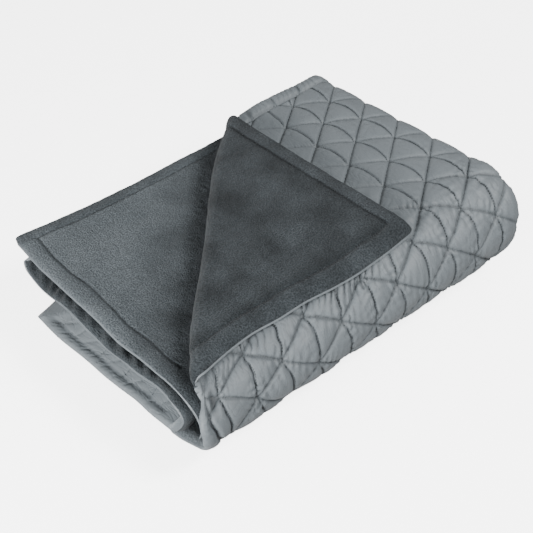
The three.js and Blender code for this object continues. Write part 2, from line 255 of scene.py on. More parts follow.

# %% [markdown]
# ## The near hems
#
# The layers end in a stepped pile of hems. On the real blanket each hem slips out and sags in its own way,
# and the drooping ones hide what is behind them. A simulation would have to be steered to that pose, so
# two short tables list how far each hem reaches out and how far it droops.

# %% Near hems as they lie
# Columns: place across the cloth, reach out past the stack, droop of the edge.
FIRST_HEM = np.array([
    (0.0, 0.000, 0.000),
    (0.93, 0.000, 0.000),
    (0.945, 0.009, 0.000),
    (0.975, 0.016, 0.000),
    (1.0, 0.011, 0.000),
    (1.03, -0.001, 0.000),
    (1.06, -0.004, 0.000),
    (1.1, -0.001, 0.000),
    (1.2, -0.012, 0.000),
    (1.4, -0.090, 0.000),
    (2.84, -0.090, 0.000),
    (2.92, -0.030, 0.000),
    (2.98, 0.000, -0.001),
    (3.15, 0.006, -0.002),
    (3.33, 0.008, 0.004),
    (3.46, 0.008, -0.002),
    (3.6, 0.007, 0.001),
    (3.78, 0.006, 0.005),
    (4.0, 0.002, 0.001),
])
SECOND_HEM = np.array([
    (0.0, 0.002, 0.000),
    (0.2, 0.005, 0.012),
    (0.36, 0.008, 0.000),
    (0.55, 0.007, 0.007),
    (0.72, 0.007, -0.001),
    (0.9, 0.006, -0.009),
    (1.0, 0.005, 0.005),
    (1.1, 0.004, 0.041),
    (1.25, 0.006, 0.043),
    (1.5, 0.010, 0.047),
    (1.8, 0.015, 0.050),
    (1.9, 0.013, 0.052),
    (2.1, -0.056, 0.052),
    (4.0, -0.056, 0.000),
])
REACH, DROP = 1, 2
print("near hems given at", len(FIRST_HEM), "and", len(SECOND_HEM), "places")

# %% Reach and droop of the near hems
CORNER_LEG = 0.426           # the top layer's corner is turned back from this far along its two hems
CORNER_EASE = 0.024          # past the corner's fold the near hem reaches out over this distance
DROOP_LENGTH = 0.076         # length of a near hem that droops
LOW_DROOP_LENGTH = 0.100     # and of the two layers that share the small left fold
PLACE_EASE = 0.1             # places over which one droop passes into another


def hem_value(table, place, column):
    """Value of a hem table at a place, eased from row to row."""
    row = np.clip(np.searchsorted(table[:, 0], place, side="right") - 1, 0, len(table) - 2)
    share = (place - table[row, 0]) / (table[row + 1, 0] - table[row, 0])
    return mix(table[row, column], table[row + 1, column], smooth(share))


def near_reach(cross, run, place, half):
    """Reach of a near hem past the stack, from the first table and, past the far fold, the second."""
    past_corner = np.where(cross < CROSS_ENDS[2], ease(cross + run, CORNER_LEG, CORNER_EASE), 1.0)
    first = hem_value(FIRST_HEM, place, REACH) * past_corner
    return mix(first, hem_value(SECOND_HEM, place, REACH), half)


def near_droop(near, slipped, place, half):
    """Droop near the hems, eased out along the layer; layers on one left fold share a droop."""
    folded_back = np.clip(LAST_PLACE - place, SIDE_FOLD_END, LEFT_FOLD_START)
    paired = np.where(place > LEFT_FOLD, folded_back, np.minimum(place, LEFT_FOLD_START))
    from_near = slipped + hem_value(SECOND_HEM, paired, REACH)
    length = mix(DROOP_LENGTH, LOW_DROOP_LENGTH, ease(place, SIDE_FOLD, PLACE_EASE))
    first = hem_value(FIRST_HEM, place, DROP) * (1 - smooth(near / DROOP_LENGTH))
    second = hem_value(SECOND_HEM, paired, DROP) * (1 - smooth(from_near / length))
    return mix(first, second * (1 - ease(place, SECOND_FOLD_START, PLACE_EASE)), half)


print("deepest droop:", SECOND_HEM[:, DROP].max(), "m")

# %% [markdown]
# ## The stack and its layers
#
# Under its own weight the stack sags: it is lowest at the near hems and tallest at the far fold. The hem of
# the fourth layer also curls up and over at its open end, and the second layer's corner splays out. These
# are small moves of the bent layers, so each is a short formula added to the bends.

# %% The stack as it settles
FAR_LIFT = 0.35              # the stack is taller by this share at the far fold
SIDE_LIFT = -0.10            # and by this share at the side fold
LEFT_BOW = -0.008            # the open side is drawn in by this much at mid length
FAR_SLANT = 0.008            # the far fold reaches further out at the round side
FAR_SLANT_END = 1.2          # up to this share of the length
FLOOR_LEVEL = HALF_PITCH - QUILT_FLAT
TUCK = 0.013                 # the near end of the corner's fold line is pulled in by this much
TUCK_WIDTH = 0.060
DIAGONAL = math.sqrt(0.5)


def settled(x, width, z):
    """The stack as it lies: taller towards its far fold, with its open side a little bowed."""
    share = x / TOP_LENGTH
    bow = LEFT_BOW * np.sin(math.pi * np.clip(share, 0.0, 1.0))
    y = FOLDED_WIDTH - width + bow * (1 - width / FOLDED_WIDTH)
    lift = 1 + FAR_LIFT * share + SIDE_LIFT * width / FOLDED_WIDTH
    slant = FAR_SLANT * (width / FOLDED_WIDTH) ** 2 * np.clip(share, 0.0, FAR_SLANT_END) ** 3
    height = FLOOR_LEVEL + (z - FLOOR_LEVEL) * lift
    return np.stack(np.broadcast_arrays(x + slant, y, height), axis=-1) - FOLD_ORIGIN


def tuck(x, developed):
    """Pull on the top layer round the near end of the corner's fold line, fading like a bell."""
    return TUCK * DIAGONAL * bell(np.hypot(x, developed - CORNER_LEG), TUCK_WIDTH)


open_edge = settled(np.array([0.0, TOP_LENGTH]), 0.0, STACK_HEIGHT)
print("the top's open edge is at", open_edge[0].round(3), "and", open_edge[1].round(3))

# %% Small moves of the layers
LOW_FOLD_INSET = (0.040, 0.047)         # small left folds of the first half and of the second
LOW_SKEW = 0.050                        # the second is drawn in behind the near hem, then runs out again
LOW_SKEW_SPAN = (0.042, 0.075, 0.24)    # drawn in by here, stays so up to here, and is out again here
INNER_HEM_INSET = (0.010, 0.046)        # side hems of the second half, on the fourth layer and below
CURL_WIDTH = 0.040                      # the fourth layer's side hem curls up and over
CURL_RADIUS = 0.010
CURL_LENGTH = (0.14, 0.16)              # it uncurls from this distance on, over this length
CURL_REACH = 0.026
CURL_PLACES = 0.5
LEAST_CURL = 0.02                       # keeps the radius of the uncurled hem finite
SPLAY = 0.009                           # the second layer's own corner is splayed out by this much
SPLAY_LENGTH = 0.13
SPLAY_PLACES = (3.2, 0.8)


def low_fold_inset(near, half):
    """Inset of a left fold: in the second half a quarter wave draws it in and an ease lets it out."""
    start, stay, end = LOW_SKEW_SPAN
    drawn = np.sin(math.pi / 2 * np.minimum(near / start, 1)) * (1 - ease(near, stay, end - stay))
    return mix(LOW_FOLD_INSET[0], LOW_FOLD_INSET[1] + LOW_SKEW * drawn, half)


def curled(curl, flat, rise):
    """Moves inwards and up of a curled hem: its cloth is laid round a circle, wider where it uncurls."""
    rolled = np.maximum(CURL_WIDTH - flat * TOP_WIDTH, 0.0)
    radius = CURL_RADIUS / np.maximum(curl, LEAST_CURL)
    inwards = rolled - (radius + rise) * np.sin(rolled / radius)
    up = (radius + rise) * (1 - np.cos(rolled / radius))
    return np.where(curl > 0, inwards, 0.0), np.where(curl > 0, up, 0.0)


print("small left fold is drawn in by", low_fold_inset(np.array(LOW_SKEW_SPAN), 1.0).round(3), "m")

# %% Bend the layers
HEM_LIFT = 0.007             # the top layer's side hem stands up by this much
HEM_LIFT_WIDTH = 0.05
HEM_LIFT_END = (0.46, 0.13)


def layered(cross, run, rise):
    """Point of the layers: bent round the left fold, the far fold and the side fold, in that order."""
    flat, right, left, place = section_at(cross)
    along, far = length_at(run)
    half = far / math.pi
    near = along * TOP_LENGTH
    curl = smooth(half * 2 - 1) * (1 - ease(near, *CURL_LENGTH)) * (place < CURL_PLACES)
    hem_inset = half * np.where(place < LEFT_FOLD, *INNER_HEM_INSET) - CURL_REACH * curl
    inset = mix(hem_inset, low_fold_inset(near, half), smooth(right / math.pi))
    over_left = HALF_PITCH + rise
    over_far = LAYER_PITCH + over_left * np.cos(left)
    over_side = 2 * LAYER_PITCH + over_far * np.cos(far)
    splay = SPLAY * (1 - smooth(half * 2)) * ease(place, *SPLAY_PLACES) * (1 - smooth(near / SPLAY_LENGTH))
    curl_in, curl_up = curled(curl, flat, rise)
    width = mix(inset, TOP_WIDTH, flat) - over_left * np.sin(left) - splay + curl_in
    slipped = near - near_reach(cross, run, place, half) * (1 - along)
    droop = near_droop(near, slipped, place, half)
    pull = np.where((place < SIDE_FOLD_END) & (half < 0.5), tuck(near, cross), 0.0)
    lifted = HEM_LIFT * (1 - smooth(cross / HEM_LIFT_WIDTH)) * (1 - ease(run, *HEM_LIFT_END))
    return settled(
        slipped + over_far * np.sin(far) + pull,
        width + (SIDE_PUSH + SIDE_SPREAD * over_side) * np.sin(right) + pull,
        STACK_HEIGHT / 2 + over_side * np.cos(right) - droop + curl_up + lifted,
    )


print("middle of the top layer at", layered(TOP_WIDTH / 2, TOP_LENGTH / 2, 0.0).round(3))

# %% [markdown]
# ## The turned corner and the hems
#
# The corner is turned back over a slanting line, like the page of a book. The cloth goes round a small half
# circle there and then lies on the top layer, so it also follows the round side. Hand-turned cloth is never
# straight: the fold line bows, the hems wave where their sewing gathers them, and the corners are rounded.
# Those are small shifts of the flat place or of the folded point.

# %% The turned corner
CORNER_RADIUS = 0.008
TIP_STRETCH = 0.006          # the turned corner's tip is drawn out by this much
TIP_SPAN = (0.20, 0.10)
FOLD_BOW = 0.0085            # the corner's fold line bows out by this much, most towards its far end
FOLD_BOW_PLACE = 0.13
FOLD_BOW_LENGTH = 0.12
FOLD_BOW_REACH = 0.06
FOLD_PULL = 0.0065           # and its far end is drawn in by this much
FOLD_PULL_LENGTH = 0.08


def corner_past(cross, run):
    """Distance past the fold line of the turned corner; far below zero outside the top layer."""
    in_top = (cross < CROSS_ENDS[2]) & (run < RUN_ENDS[1])
    return np.where(in_top, (CORNER_LEG - cross - run) * DIAGONAL, -CORNER_LEG)


def top_point(x, developed, rise):
    """Point of the top layer: flat as far as the side fold, then round it."""
    over = TOP_OVER_AXIS + rise
    turn = fold_turn(np.maximum(developed - TOP_WIDTH, 0.0))
    width = np.minimum(developed, TOP_WIDTH) + (SIDE_PUSH + SIDE_SPREAD * over) * np.sin(turn)
    pull = tuck(x, developed)
    return settled(x + pull, width + pull, STACK_HEIGHT / 2 + over * np.cos(turn))


def turned(past, side, rise):
    """Point of the turned corner: round a half circle at the fold line, then flat over the top layer."""
    turn = np.clip(past / CORNER_RADIUS, 0.0, math.pi)
    inside = CORNER_RADIUS - rise
    out = inside * np.sin(turn) - np.maximum(past - math.pi * CORNER_RADIUS, 0.0)
    out = out - TIP_STRETCH * ease(past, *TIP_SPAN)
    height = CORNER_RADIUS - inside * np.cos(turn)
    middle = CORNER_LEG / 2 - out * DIAGONAL
    return top_point(middle + side * DIAGONAL, middle - side * DIAGONAL, height)


def fold_bow(past, side):
    """How far the fold line moves out: one bell along it less another, fading to both sides of it."""
    bow = FOLD_BOW * bell(side - FOLD_BOW_PLACE, FOLD_BOW_LENGTH)
    pull = FOLD_PULL * bell(side - CORNER_LEG * DIAGONAL, FOLD_PULL_LENGTH)
    return (bow - pull) * bell(past, FOLD_BOW_REACH)


print("the corner's fold line is", round(CORNER_LEG / DIAGONAL, 3), "m long")

# %% Rounded corners and wavy hems
CORNER_ROUND = 0.014         # radius of the cloth's own corners
HEM_WAVE = 0.0017            # the hems wave in and out by this much
HEM_WAVE_LENGTH = 0.050
HEM_WAVE_REACH = 0.060
SIDE_WAVE_ROW = 11.5         # rows of the lattice for the waves, and from one hem's to the opposite one's
END_WAVE_ROW = 31.5
NEXT_WAVE_ROW = 7
HEM_BOW = 0.011              # the turned corner's near hem bows out by this much
HEM_BOW_PLACE = 0.125
HEM_BOW_WIDTH = 0.085
HEM_BOW_REACH = 0.110


def edge_distances(cross, run):
    """Distances to the nearer side hem and to the nearer end hem, on the flat cloth."""
    return np.minimum(cross, CROSS_ENDS[-1] - cross), np.minimum(run, RUN_ENDS[-1] - run)


def rounded(cross, run):
    """Flat places with the cloth's four corners rounded: a square corner is drawn into a quarter disc."""
    from_side, from_end = edge_distances(cross, run)
    a = np.maximum(1 - from_side / CORNER_ROUND, 0.0)
    b = np.maximum(1 - from_end / CORNER_ROUND, 0.0)
    to_side = CORNER_ROUND * a * (1 - np.sqrt(1 - b * b / 2))
    to_end = CORNER_ROUND * b * (1 - np.sqrt(1 - a * a / 2))
    cross = cross + np.where(cross < CROSS_ENDS[-1] / 2, to_side, -to_side)
    return cross, run + np.where(run < RUN_ENDS[-1] / 2, to_end, -to_end)


def hem_bow(cross):
    """Bow of the turned corner's near hem: a bell across the cloth."""
    return HEM_BOW * bell(cross - HEM_BOW_PLACE, HEM_BOW_WIDTH)


def hem_wave(along, row, distance):
    """Wave of a hem: unevenness along one row of the lattice, fading with the distance from the hem."""
    return HEM_WAVE * uneven(along / HEM_WAVE_LENGTH, row) * (1 - smooth(distance / HEM_WAVE_REACH))


def wavy(cross, run):
    """Flat places drawn in and out along the hems, where sewing gathers the cloth, fading inwards."""
    last_side = cross > CROSS_ENDS[-1] / 2
    last_end = run > RUN_ENDS[-1] / 2
    from_side, from_end = edge_distances(cross, run)
    side_wave = hem_wave(run, SIDE_WAVE_ROW + NEXT_WAVE_ROW * last_side, from_side)
    end_wave = hem_wave(cross, END_WAVE_ROW + NEXT_WAVE_ROW * last_end, from_end)
    bow = np.where(last_end, 0.0, hem_bow(cross)) * (1 - smooth(from_end / HEM_BOW_REACH))
    return cross + side_wave, run + end_wave - bow


print("the cloth's own corner moves to", np.round(rounded(0.0, 0.0), 4))

# %% Fold the flat cloth
def folded(cross, run, rise):
    """Point of the blanket at a place on the flat cloth and a height towards its quilted side."""
    cross, run = wavy(*rounded(*np.broadcast_arrays(cross, run)))
    cross, run, rise = np.broadcast_arrays(cross, run, rise)
    past = corner_past(cross, run)
    side = (run - cross) * DIAGONAL
    corner = turned(np.maximum(past, 0.0), side, rise)
    points = np.where((past > 0)[..., None], corner, layered(cross, run, rise))
    return points + fold_bow(past, side)[..., None] * np.array([-DIAGONAL, DIAGONAL, 0.0])


print("tip of the turned corner at", folded(0.0, 0.0, 0.0).round(3))

# %% [markdown]
# ## From a surface to a mesh
#
# A face of a cloth is a grid of points over cross and run. Where it shows, the grid is fine, and where it
# is hidden between layers it is coarse, or the mesh would be needlessly heavy. So the grid is cut into
# bands, and two bands with different columns are laced together with triangles, like a shoe.

# %% Grids and laces
def lace(near, near_at, far, far_at):
    """Triangles between two rows with different columns, stepping to whichever column comes first."""
    near_step = np.searchsorted(far_at[1:], near_at[1:], side="left")
    far_step = np.searchsorted(near_at[1:], far_at[1:], side="right")
    near_triangles = np.stack([near[:-1], far[near_step], near[1:]], axis=1)
    far_triangles = np.stack([near[far_step], far[:-1], far[1:]], axis=1)
    return np.concatenate([near_triangles, far_triangles])


def grid_triangles(ids):
    """Two triangles a cell, split along the direction of the corner's fold line."""
    a, b, c, d = ids[:-1, :-1], ids[1:, :-1], ids[1:, 1:], ids[:-1, 1:]
    return np.concatenate([
        np.stack([a, b, d], axis=-1).reshape(-1, 3),
        np.stack([b, c, d], axis=-1).reshape(-1, 3),
    ])


two_rows = lace(np.arange(3), np.array([0, 1, 2]), np.arange(3, 5), np.array([0, 2]))
print("a row of three points laced to a row of two:", len(two_rows), "triangles")


# %% One face of a cloth
def set_back(cross, run, distance):
    """Flat places drawn in evenly, so that the hems lie a distance inside those of the full cloth."""
    inner_cross = mix(distance, CROSS_ENDS[-1] - distance, cross / CROSS_ENDS[-1])
    return inner_cross, mix(distance, RUN_ENDS[-1] - distance, run / RUN_ENDS[-1])


def cloth_face(bands, rise_at, first_id, setback):
    """One face of a cloth from bands of (rows, columns): points, flat places, triangles and four edges."""
    points, places, triangles, band_ids = [], [], [], []
    for rows, columns in bands:
        cross, run = np.meshgrid(rows, columns, indexing="ij")
        ids = first_id + np.arange(cross.size).reshape(cross.shape)
        first_id += cross.size
        points.append(folded(*set_back(cross, run, setback), rise_at(cross, run)).reshape(-1, 3))
        places.append(np.stack([cross, run], axis=-1).reshape(-1, 2))
        triangles.append(grid_triangles(ids))
        band_ids.append(ids)
    for k in range(len(bands) - 1):
        triangles.append(lace(band_ids[k][-1], bands[k][1], band_ids[k + 1][0], bands[k + 1][1]))
    all_rows = np.concatenate([rows for rows, columns in bands])
    edges = {
        "first_side": (band_ids[0][0], bands[0][1]),
        "last_side": (band_ids[-1][-1], bands[-1][1]),
        "first_near": (np.concatenate([ids[:, 0] for ids in band_ids]), all_rows),
        "last_near": (np.concatenate([ids[:, -1] for ids in band_ids]), all_rows),
    }
    return np.concatenate(points), np.concatenate(places), np.concatenate(triangles), edges


# %% A mesh from points and triangles
def mesh_piece(name, points, triangles, places=None):
    """Mesh object at the origin from arrays of points and triangles, smooth, with an optional UV map."""
    mesh = bpy.data.meshes.new(name)
    mesh.vertices.add(len(points))
    mesh.vertices.foreach_set("co", points.astype(np.float32).ravel())
    mesh.loops.add(triangles.size)
    mesh.loops.foreach_set("vertex_index", triangles.astype(np.int32).ravel())
    mesh.polygons.add(len(triangles))
    mesh.polygons.foreach_set("loop_start", np.arange(0, triangles.size, 3, dtype=np.int32))
    mesh.update(calc_edges=True)
    mesh.polygons.foreach_set("use_smooth", np.ones(len(triangles), dtype=bool))
    if places is not None:
        layer = mesh.uv_layers.new(name="flat_cloth")
        layer.data.foreach_set("uv", places[triangles.ravel()].astype(np.float32).ravel())
    mesh.validate()
    piece = add_object(name, mesh)
    print(name, len(points), "points,", len(triangles), "triangles")
    return piece


# %% A closed cloth of two faces
def closed_cloth(name, front_bands, front_rise, back_bands, back_rise, setback):
    """A closed shell of two faces, laced along its hems, with the flat places as its UV map."""
    front = cloth_face(front_bands, front_rise, 0, setback)
    front_points, front_places, front_triangles, front_edges = front
    back = cloth_face(back_bands, back_rise, len(front_points), setback)
    back_points, back_places, back_triangles, back_edges = back
    triangles = np.concatenate([
        front_triangles,
        back_triangles[:, ::-1],
        lace(*back_edges["first_side"], *front_edges["first_side"]),
        lace(*front_edges["last_side"], *back_edges["last_side"]),
        lace(*front_edges["first_near"], *back_edges["first_near"]),
        lace(*back_edges["last_near"], *front_edges["last_near"]),
    ])
    points = np.concatenate([front_points, back_points])
    places = np.concatenate([front_places, back_places])
    return mesh_piece(name, points, triangles, places), places


def level_face(height):
    """Inner side of a cloth: a function that gives one height everywhere."""
    return lambda cross, run: np.full(np.shape(cross), height)


def point_values(piece, name, values):
    """Store one number for each point of a piece, for its material to read."""
    attribute = piece.data.attributes.new(name, "FLOAT", "POINT")
    attribute.data.foreach_set("value", values.astype(np.float32).ravel())


# %% [markdown]
# ## The quilting
#
# A woven cover over thin wadding is stitched through in three families of lines that cross at common
# points, so the face is a field of triangles. Rows of stitching run across the blanket, and two slanting
# families join their crossings. Where three lines cross the cover is pulled down hard. Along a row the
# thread is slack, so the row arches up between crossings, and the slanting lines lie lower and straighter.
# In a triangle, three shares that add to one say how near each side is, and every height below is worked
# out from those shares.

# %% The sewing pattern
CELL_ACROSS = 0.0748         # from crossing to crossing along a row
ROW_PITCH = 0.0532           # from row to row
FIRST_CROSSING = (0.0074, 0.0401)
SLANT_HEIGHT = 0.061         # height of a stitched triangle over a slanting side
ROW_BEND = 0.0065            # a row bends towards the far fold by this much between crossings
DRAWN_UP = 0.016             # the crossings beside the corner's fold are drawn up by this much
DRAWN_PLACE = (0.475, 0.060)
DRAWN_SIZE = (0.050, 0.060)


def bell_at(cross, run, place, size):
    """Bell over a place on the flat cloth, with one width across it and one along it."""
    return bell(cross - place[0], size[0]) * bell(run - place[1], size[1])


def sewn_place(cross, run):
    """Place in the sewing pattern: the cloth is pulled in and drawn up beside the corner's fold line."""
    pulled = tuck(run, cross)
    return cross + pulled + DRAWN_UP * bell_at(cross, run, DRAWN_PLACE, DRAWN_SIZE), run + pulled


def triangle_shares(cross, run):
    """Shares of a point in its stitched triangle: from the row, the even slant and the steep slant."""
    cross, run = sewn_place(cross, run)
    along = (run - FIRST_CROSSING[1]) / ROW_PITCH
    across = (cross - FIRST_CROSSING[0]) / CELL_ACROSS
    parts = [along, across - along / 2, -across - along / 2]
    parts = [part - np.floor(part) for part in parts]
    pointing_down = sum(parts) > 1.5
    return [np.where(pointing_down, 1 - part, part) for part in parts]


def bent_shares(cross, run):
    """Shares with the rows bent: the run is drawn back most in the middle of a row, not on the slants."""
    row, even, steep = triangle_shares(cross, run)
    return triangle_shares(cross, run - ROW_BEND * 4 * even * steep * (1 - row))


def seam_distances(shares):
    """Distance to the row and to the two slanting seams of a triangle."""
    return [share * height for share, height in zip(shares, (ROW_PITCH, SLANT_HEIGHT, SLANT_HEIGHT))]


print("stitched triangles are", CELL_ACROSS, "m wide and", ROW_PITCH, "m high")

# %% Puckers and wrinkles
NOTCH_DEPTH = 0.0026         # the thread cuts a notch into the cover
NOTCH_WIDTH = 0.0019
PUCKER_DEPTH = 0.0017
PUCKER_REACH = 0.013
PUCKER_PITCH = 0.0128
PUCKER_SLANT = 0.3
PUCKER_SWAY = 5
PUCKER_SWAY_SIZE = 0.035
PUCKER_PATCH_SIZE = 0.045
WRINKLE_DEPTH = 0.0009
WRINKLE_SHARPNESS = 2.2
WRINKLE_PATCH_SIZE = 0.06


def seam_puckers(cross, run, distances):
    """Puckers: waves along each seam, strongest a little off its thread, in uneven patches."""
    height = 0.0
    phases = (cross, run + cross * PUCKER_SLANT, run - cross * PUCKER_SLANT)
    for k, (distance, phase) in enumerate(zip(distances, phases)):
        fading = np.exp(-distance / PUCKER_REACH) * (1 - np.exp(-distance / NOTCH_WIDTH))
        sway = PUCKER_SWAY * patches(cross, run, PUCKER_SWAY_SIZE, 0, k)
        patch = smooth(0.5 + 1.2 * patches(cross, run, PUCKER_PATCH_SIZE, 9, 2 * k))
        height = height + PUCKER_DEPTH * fading * waves(phase, PUCKER_PITCH, sway) * patch
    return height


def fine_wrinkles(cross, run):
    """Wrinkles: ridges where a slanting unevenness passes its middle value, in uneven patches."""
    slanting = uneven(cross / 0.014 + run / 0.05, run / 0.034 - cross / 0.06)
    ridges = np.maximum(1 - np.abs(slanting) * WRINKLE_SHARPNESS, 0.0)
    return WRINKLE_DEPTH * ridges * smooth(0.4 + patches(cross, run, WRINKLE_PATCH_SIZE, 0, 5))


sample_run = np.linspace(0.0, TOP_LENGTH, 500)
print("deepest wrinkle on a line along the top:", fine_wrinkles(TOP_WIDTH, sample_run).max().round(4), "m")

# %% Height of the quilting
ROW_ARCH = 0.0028            # the slack thread of a row lets it rise between crossings
EVEN_ARCH = 0.0018
STEEP_ARCH = 0.0003
PUFF = 0.0042
PUFF_POWER = 0.6             # below one, so that a puff is full right up to its seams
FULLNESS = 0.25              # puffs differ by this share
FULLNESS_SIZE = 0.055
SIDE_SPAN = (0.34, 0.06)     # the top passes into the round side here
SIDE_PUFF = 1.3              # the round side is fuller than the top, and more puckered
SIDE_PUCKER = 1.45
TOP_PUCKER = 0.4
GATHERED = (0.4, 0.9)        # puckering away from the crossings and nearer to them
GATHER_SPAN = (0.5, 0.3)
SMOOTHED_SPAN = (0.80, 0.12)  # close to a crossing the cover is smooth again
PINCH_DEPTH = 0.0010         # and pinched down
PINCH_SPAN = (0.86, 0.14)
WRINKLE_EDGE = 0.5           # wrinkles stay in the middle of a triangle


def quilting_height(cross, run, detail):
    """Height over the crossings: arches along each side, a puff inside, notches at the thread.

    An arch is four times the product of the two other shares, and the puff rises with the product of all
    three. Notches, pinches, puckers and wrinkles are scaled by the detail, 0 where the grid is coarse.
    """
    row, even, steep = shares = bent_shares(cross, run)
    distances = seam_distances(shares)
    arches = 4 * (
        ROW_ARCH * even * steep * (1 - row) ** 2
        + EVEN_ARCH * row * steep * (1 - even) ** 2
        + STEEP_ARCH * row * even * (1 - steep) ** 2
    )
    side = ease(cross, *SIDE_SPAN) * (cross < CROSS_ENDS[2])
    middle = 27 * row * even * steep
    fullness = 1 + FULLNESS * patches(cross, run, FULLNESS_SIZE, 3)
    puff = PUFF * fullness * mix(1.0, SIDE_PUFF, side) * middle ** PUFF_POWER
    crossing = np.max(shares, axis=0)
    gathered = mix(*GATHERED, ease(crossing, *GATHER_SPAN)) * (1 - ease(crossing, *SMOOTHED_SPAN))
    puckers = mix(TOP_PUCKER, SIDE_PUCKER, side) * gathered * seam_puckers(cross, run, distances)
    notches = sum(NOTCH_DEPTH * bell(distance, NOTCH_WIDTH) for distance in distances)
    pinch = PINCH_DEPTH * ease(crossing, *PINCH_SPAN)
    wrinkles = fine_wrinkles(cross, run) * smooth(middle / WRINKLE_EDGE)
    return arches + puff + detail * (puckers - notches - pinch - wrinkles)


sample_height = quilting_height(TOP_WIDTH, sample_run, 1.0)
print("quilting on that line: from", sample_height.min().round(4), "to", sample_height.max().round(4), "m")

# %% Gathers beside the turned corner
HOLLOW_DEPTH = 0.006         # a deep gather beside the near end of the corner's fold
HOLLOW_PLACE = (0.440, 0.024)
HOLLOW_SIZE = (0.015, 0.007)
GATHER_DEPTH = 0.0042        # short gathers come out from under the turned corner's edge, in clusters
GATHER_PITCH = 0.0115
GATHER_REACH = 0.014
GATHER_EDGE = 0.410
GATHER_END = (0.32, 0.04)
GATHER_SLANT = 0.4
GATHER_SWAY = 4
CLUSTER_LENGTH = 0.038
CLUSTER_ROW = 50.5           # row of the lattice for the clusters


def hollow_at(cross, run):
    """Bell over the deep gather, longer across the cloth than along it."""
    return bell_at(cross, run, HOLLOW_PLACE, HOLLOW_SIZE)


def gathers_at(cross, run):
    """Narrow dips along the turned corner's edge: the square of a wave's upper half, fading outwards."""
    out = (cross - GATHER_EDGE - hem_bow(CORNER_LEG - run)) / GATHER_REACH
    fading = smooth(out + 1) * bell(np.maximum(out, 0.0), 1.0) * (1 - ease(run, *GATHER_END))
    sway = GATHER_SWAY * uneven(run / 0.04, cross / 0.05 + 20)
    wave = waves(run + GATHER_SLANT * cross, GATHER_PITCH, sway)
    clusters = smooth(0.70 + 1.1 * uneven(run / CLUSTER_LENGTH, CLUSTER_ROW))
    return clusters * fading * np.maximum(wave, 0.0) ** 2


print("share of the edge with gathers:", np.mean(gathers_at(GATHER_EDGE, sample_run) > 0.1).round(2))

# %% Hem strips of the quilted face
SIDE_STRIP = 0.027           # width of the plain strip along the side hems, and along the end hems
END_STRIP = 0.015
END_STRIP_NARROW = 0.010     # the near end strip is narrow beside the corner's fold
END_STRIP_SPAN = 0.11
STRIP_LEVEL = 0.0028
STRIP_ROLL = 0.0026
RIPPLE = 0.0007
RIPPLE_PITCH = 0.013
RIPPLE_SWAY = 6
RIPPLE_LENGTH = 0.03
TACK_DEPTH = 0.0042
TACK_PITCH = 0.062
TACK_WIDTH = 0.003
EDGE_WIDTH = 0.006           # a cloth's edge is rounded over this width
EDGE_LIP = 0.0006            # and stays this thick


def hem_distance(cross, run):
    """Distance to the nearest hem, on the flat cloth."""
    return np.minimum(*edge_distances(cross, run))


def rounded_edge(level, rise, cross, run):
    """A height that starts from a level at the hems and comes up by a quarter circle."""
    share = np.clip(hem_distance(cross, run) / EDGE_WIDTH, 0.0, 1.0)
    return mix(level, rise, np.sqrt(1 - (1 - share) ** 2))


def near_strip(cross):
    """Width of the top layer's near strip: narrow beside the corner's fold, then like a side strip."""
    return mix(END_STRIP_NARROW, SIDE_STRIP, ease(cross, CORNER_LEG, END_STRIP_SPAN))


def hem_strip(cross, run):
    """Place in the plain strip: share from the edge to its seam, metres past the seam, and along it."""
    from_side, from_end = edge_distances(cross, run)
    end_strip = np.where(run < RUN_ENDS[1], near_strip(cross), END_STRIP)
    by_side = from_side / SIDE_STRIP < from_end / end_strip
    width = np.where(by_side, SIDE_STRIP, end_strip)
    distance = np.where(by_side, from_side, from_end)
    return distance / width, distance - width, np.where(by_side, run, cross)


def hem_strip_height(share, along_hem, tacked):
    """Plain hem strip: a low roll with puckers across it and, where it is tacked, a tack now and then."""
    held = np.clip(share, 0.0, 1.0)
    ripple = waves(along_hem, RIPPLE_PITCH, RIPPLE_SWAY * uneven(along_hem / RIPPLE_LENGTH, held * 0.5))
    roll = np.sin(math.pi * held) * (STRIP_ROLL + RIPPLE * ripple)
    from_tack = ((along_hem / TACK_PITCH + 0.5) % 1.0 - 0.5) * TACK_PITCH
    return STRIP_LEVEL + roll - TACK_DEPTH * tacked * bell(from_tack, TACK_WIDTH) * smooth(held * 2)


print("near strip widens to", near_strip(CROSS_ENDS[2]).round(3), "m")

# %% Where the quilting shows
# Spans are a start and a length: where the top's quilting fades out, and where lower layers show theirs.
TOP_SPAN = (0.575, 0.035)
FAR_SPAN = (TOP_LENGTH + 0.055, 0.03)
NEAR_END_RUN = (RUN_ENDS[-1] - 0.20, 0.06)
NEAR_END_CROSS = ((CROSS_ENDS[2] + 0.02, 0.03), (CROSS_ENDS[3] - 0.02, 0.02))
LOW_FAR_RUN = ((TOP_LENGTH + 0.02, 0.02), (RUN_ENDS[2] - 0.02, 0.03))
LOW_FAR_CROSS = (CROSS_ENDS[3] - 0.03, 0.03)
LEFT_FOLD_CROSS = ((CROSS_ENDS[3] + 0.004, 0.008), (CROSS_ENDS[4] + 0.01, 0.02))
LEFT_FOLD_SHARE = 0.7
TOP_CALM = 0.85              # the quilting is a little lower on top than on the side
TOP_CALM_SPAN = (0.32, 0.06)
FAR_CALM = 0.42              # lower still round the far fold
FAR_CALM_SPAN = (TOP_LENGTH - 0.03, 0.05)
LOW_CALM = 0.7               # and on the lower half of the side
LOW_CALM_SPAN = (0.50, 0.06)


def shown_top(cross, run):
    """1 on the top and on the outside of its folds, eased to 0 where they turn under."""
    return (1 - ease(cross, *TOP_SPAN)) * (1 - ease(run, *FAR_SPAN))


def shown_near_end(cross, run):
    """1 on the drooping near end that shows under the fleece, eased to 0 round it."""
    return ease(run, *NEAR_END_RUN) * between(cross, *NEAR_END_CROSS)


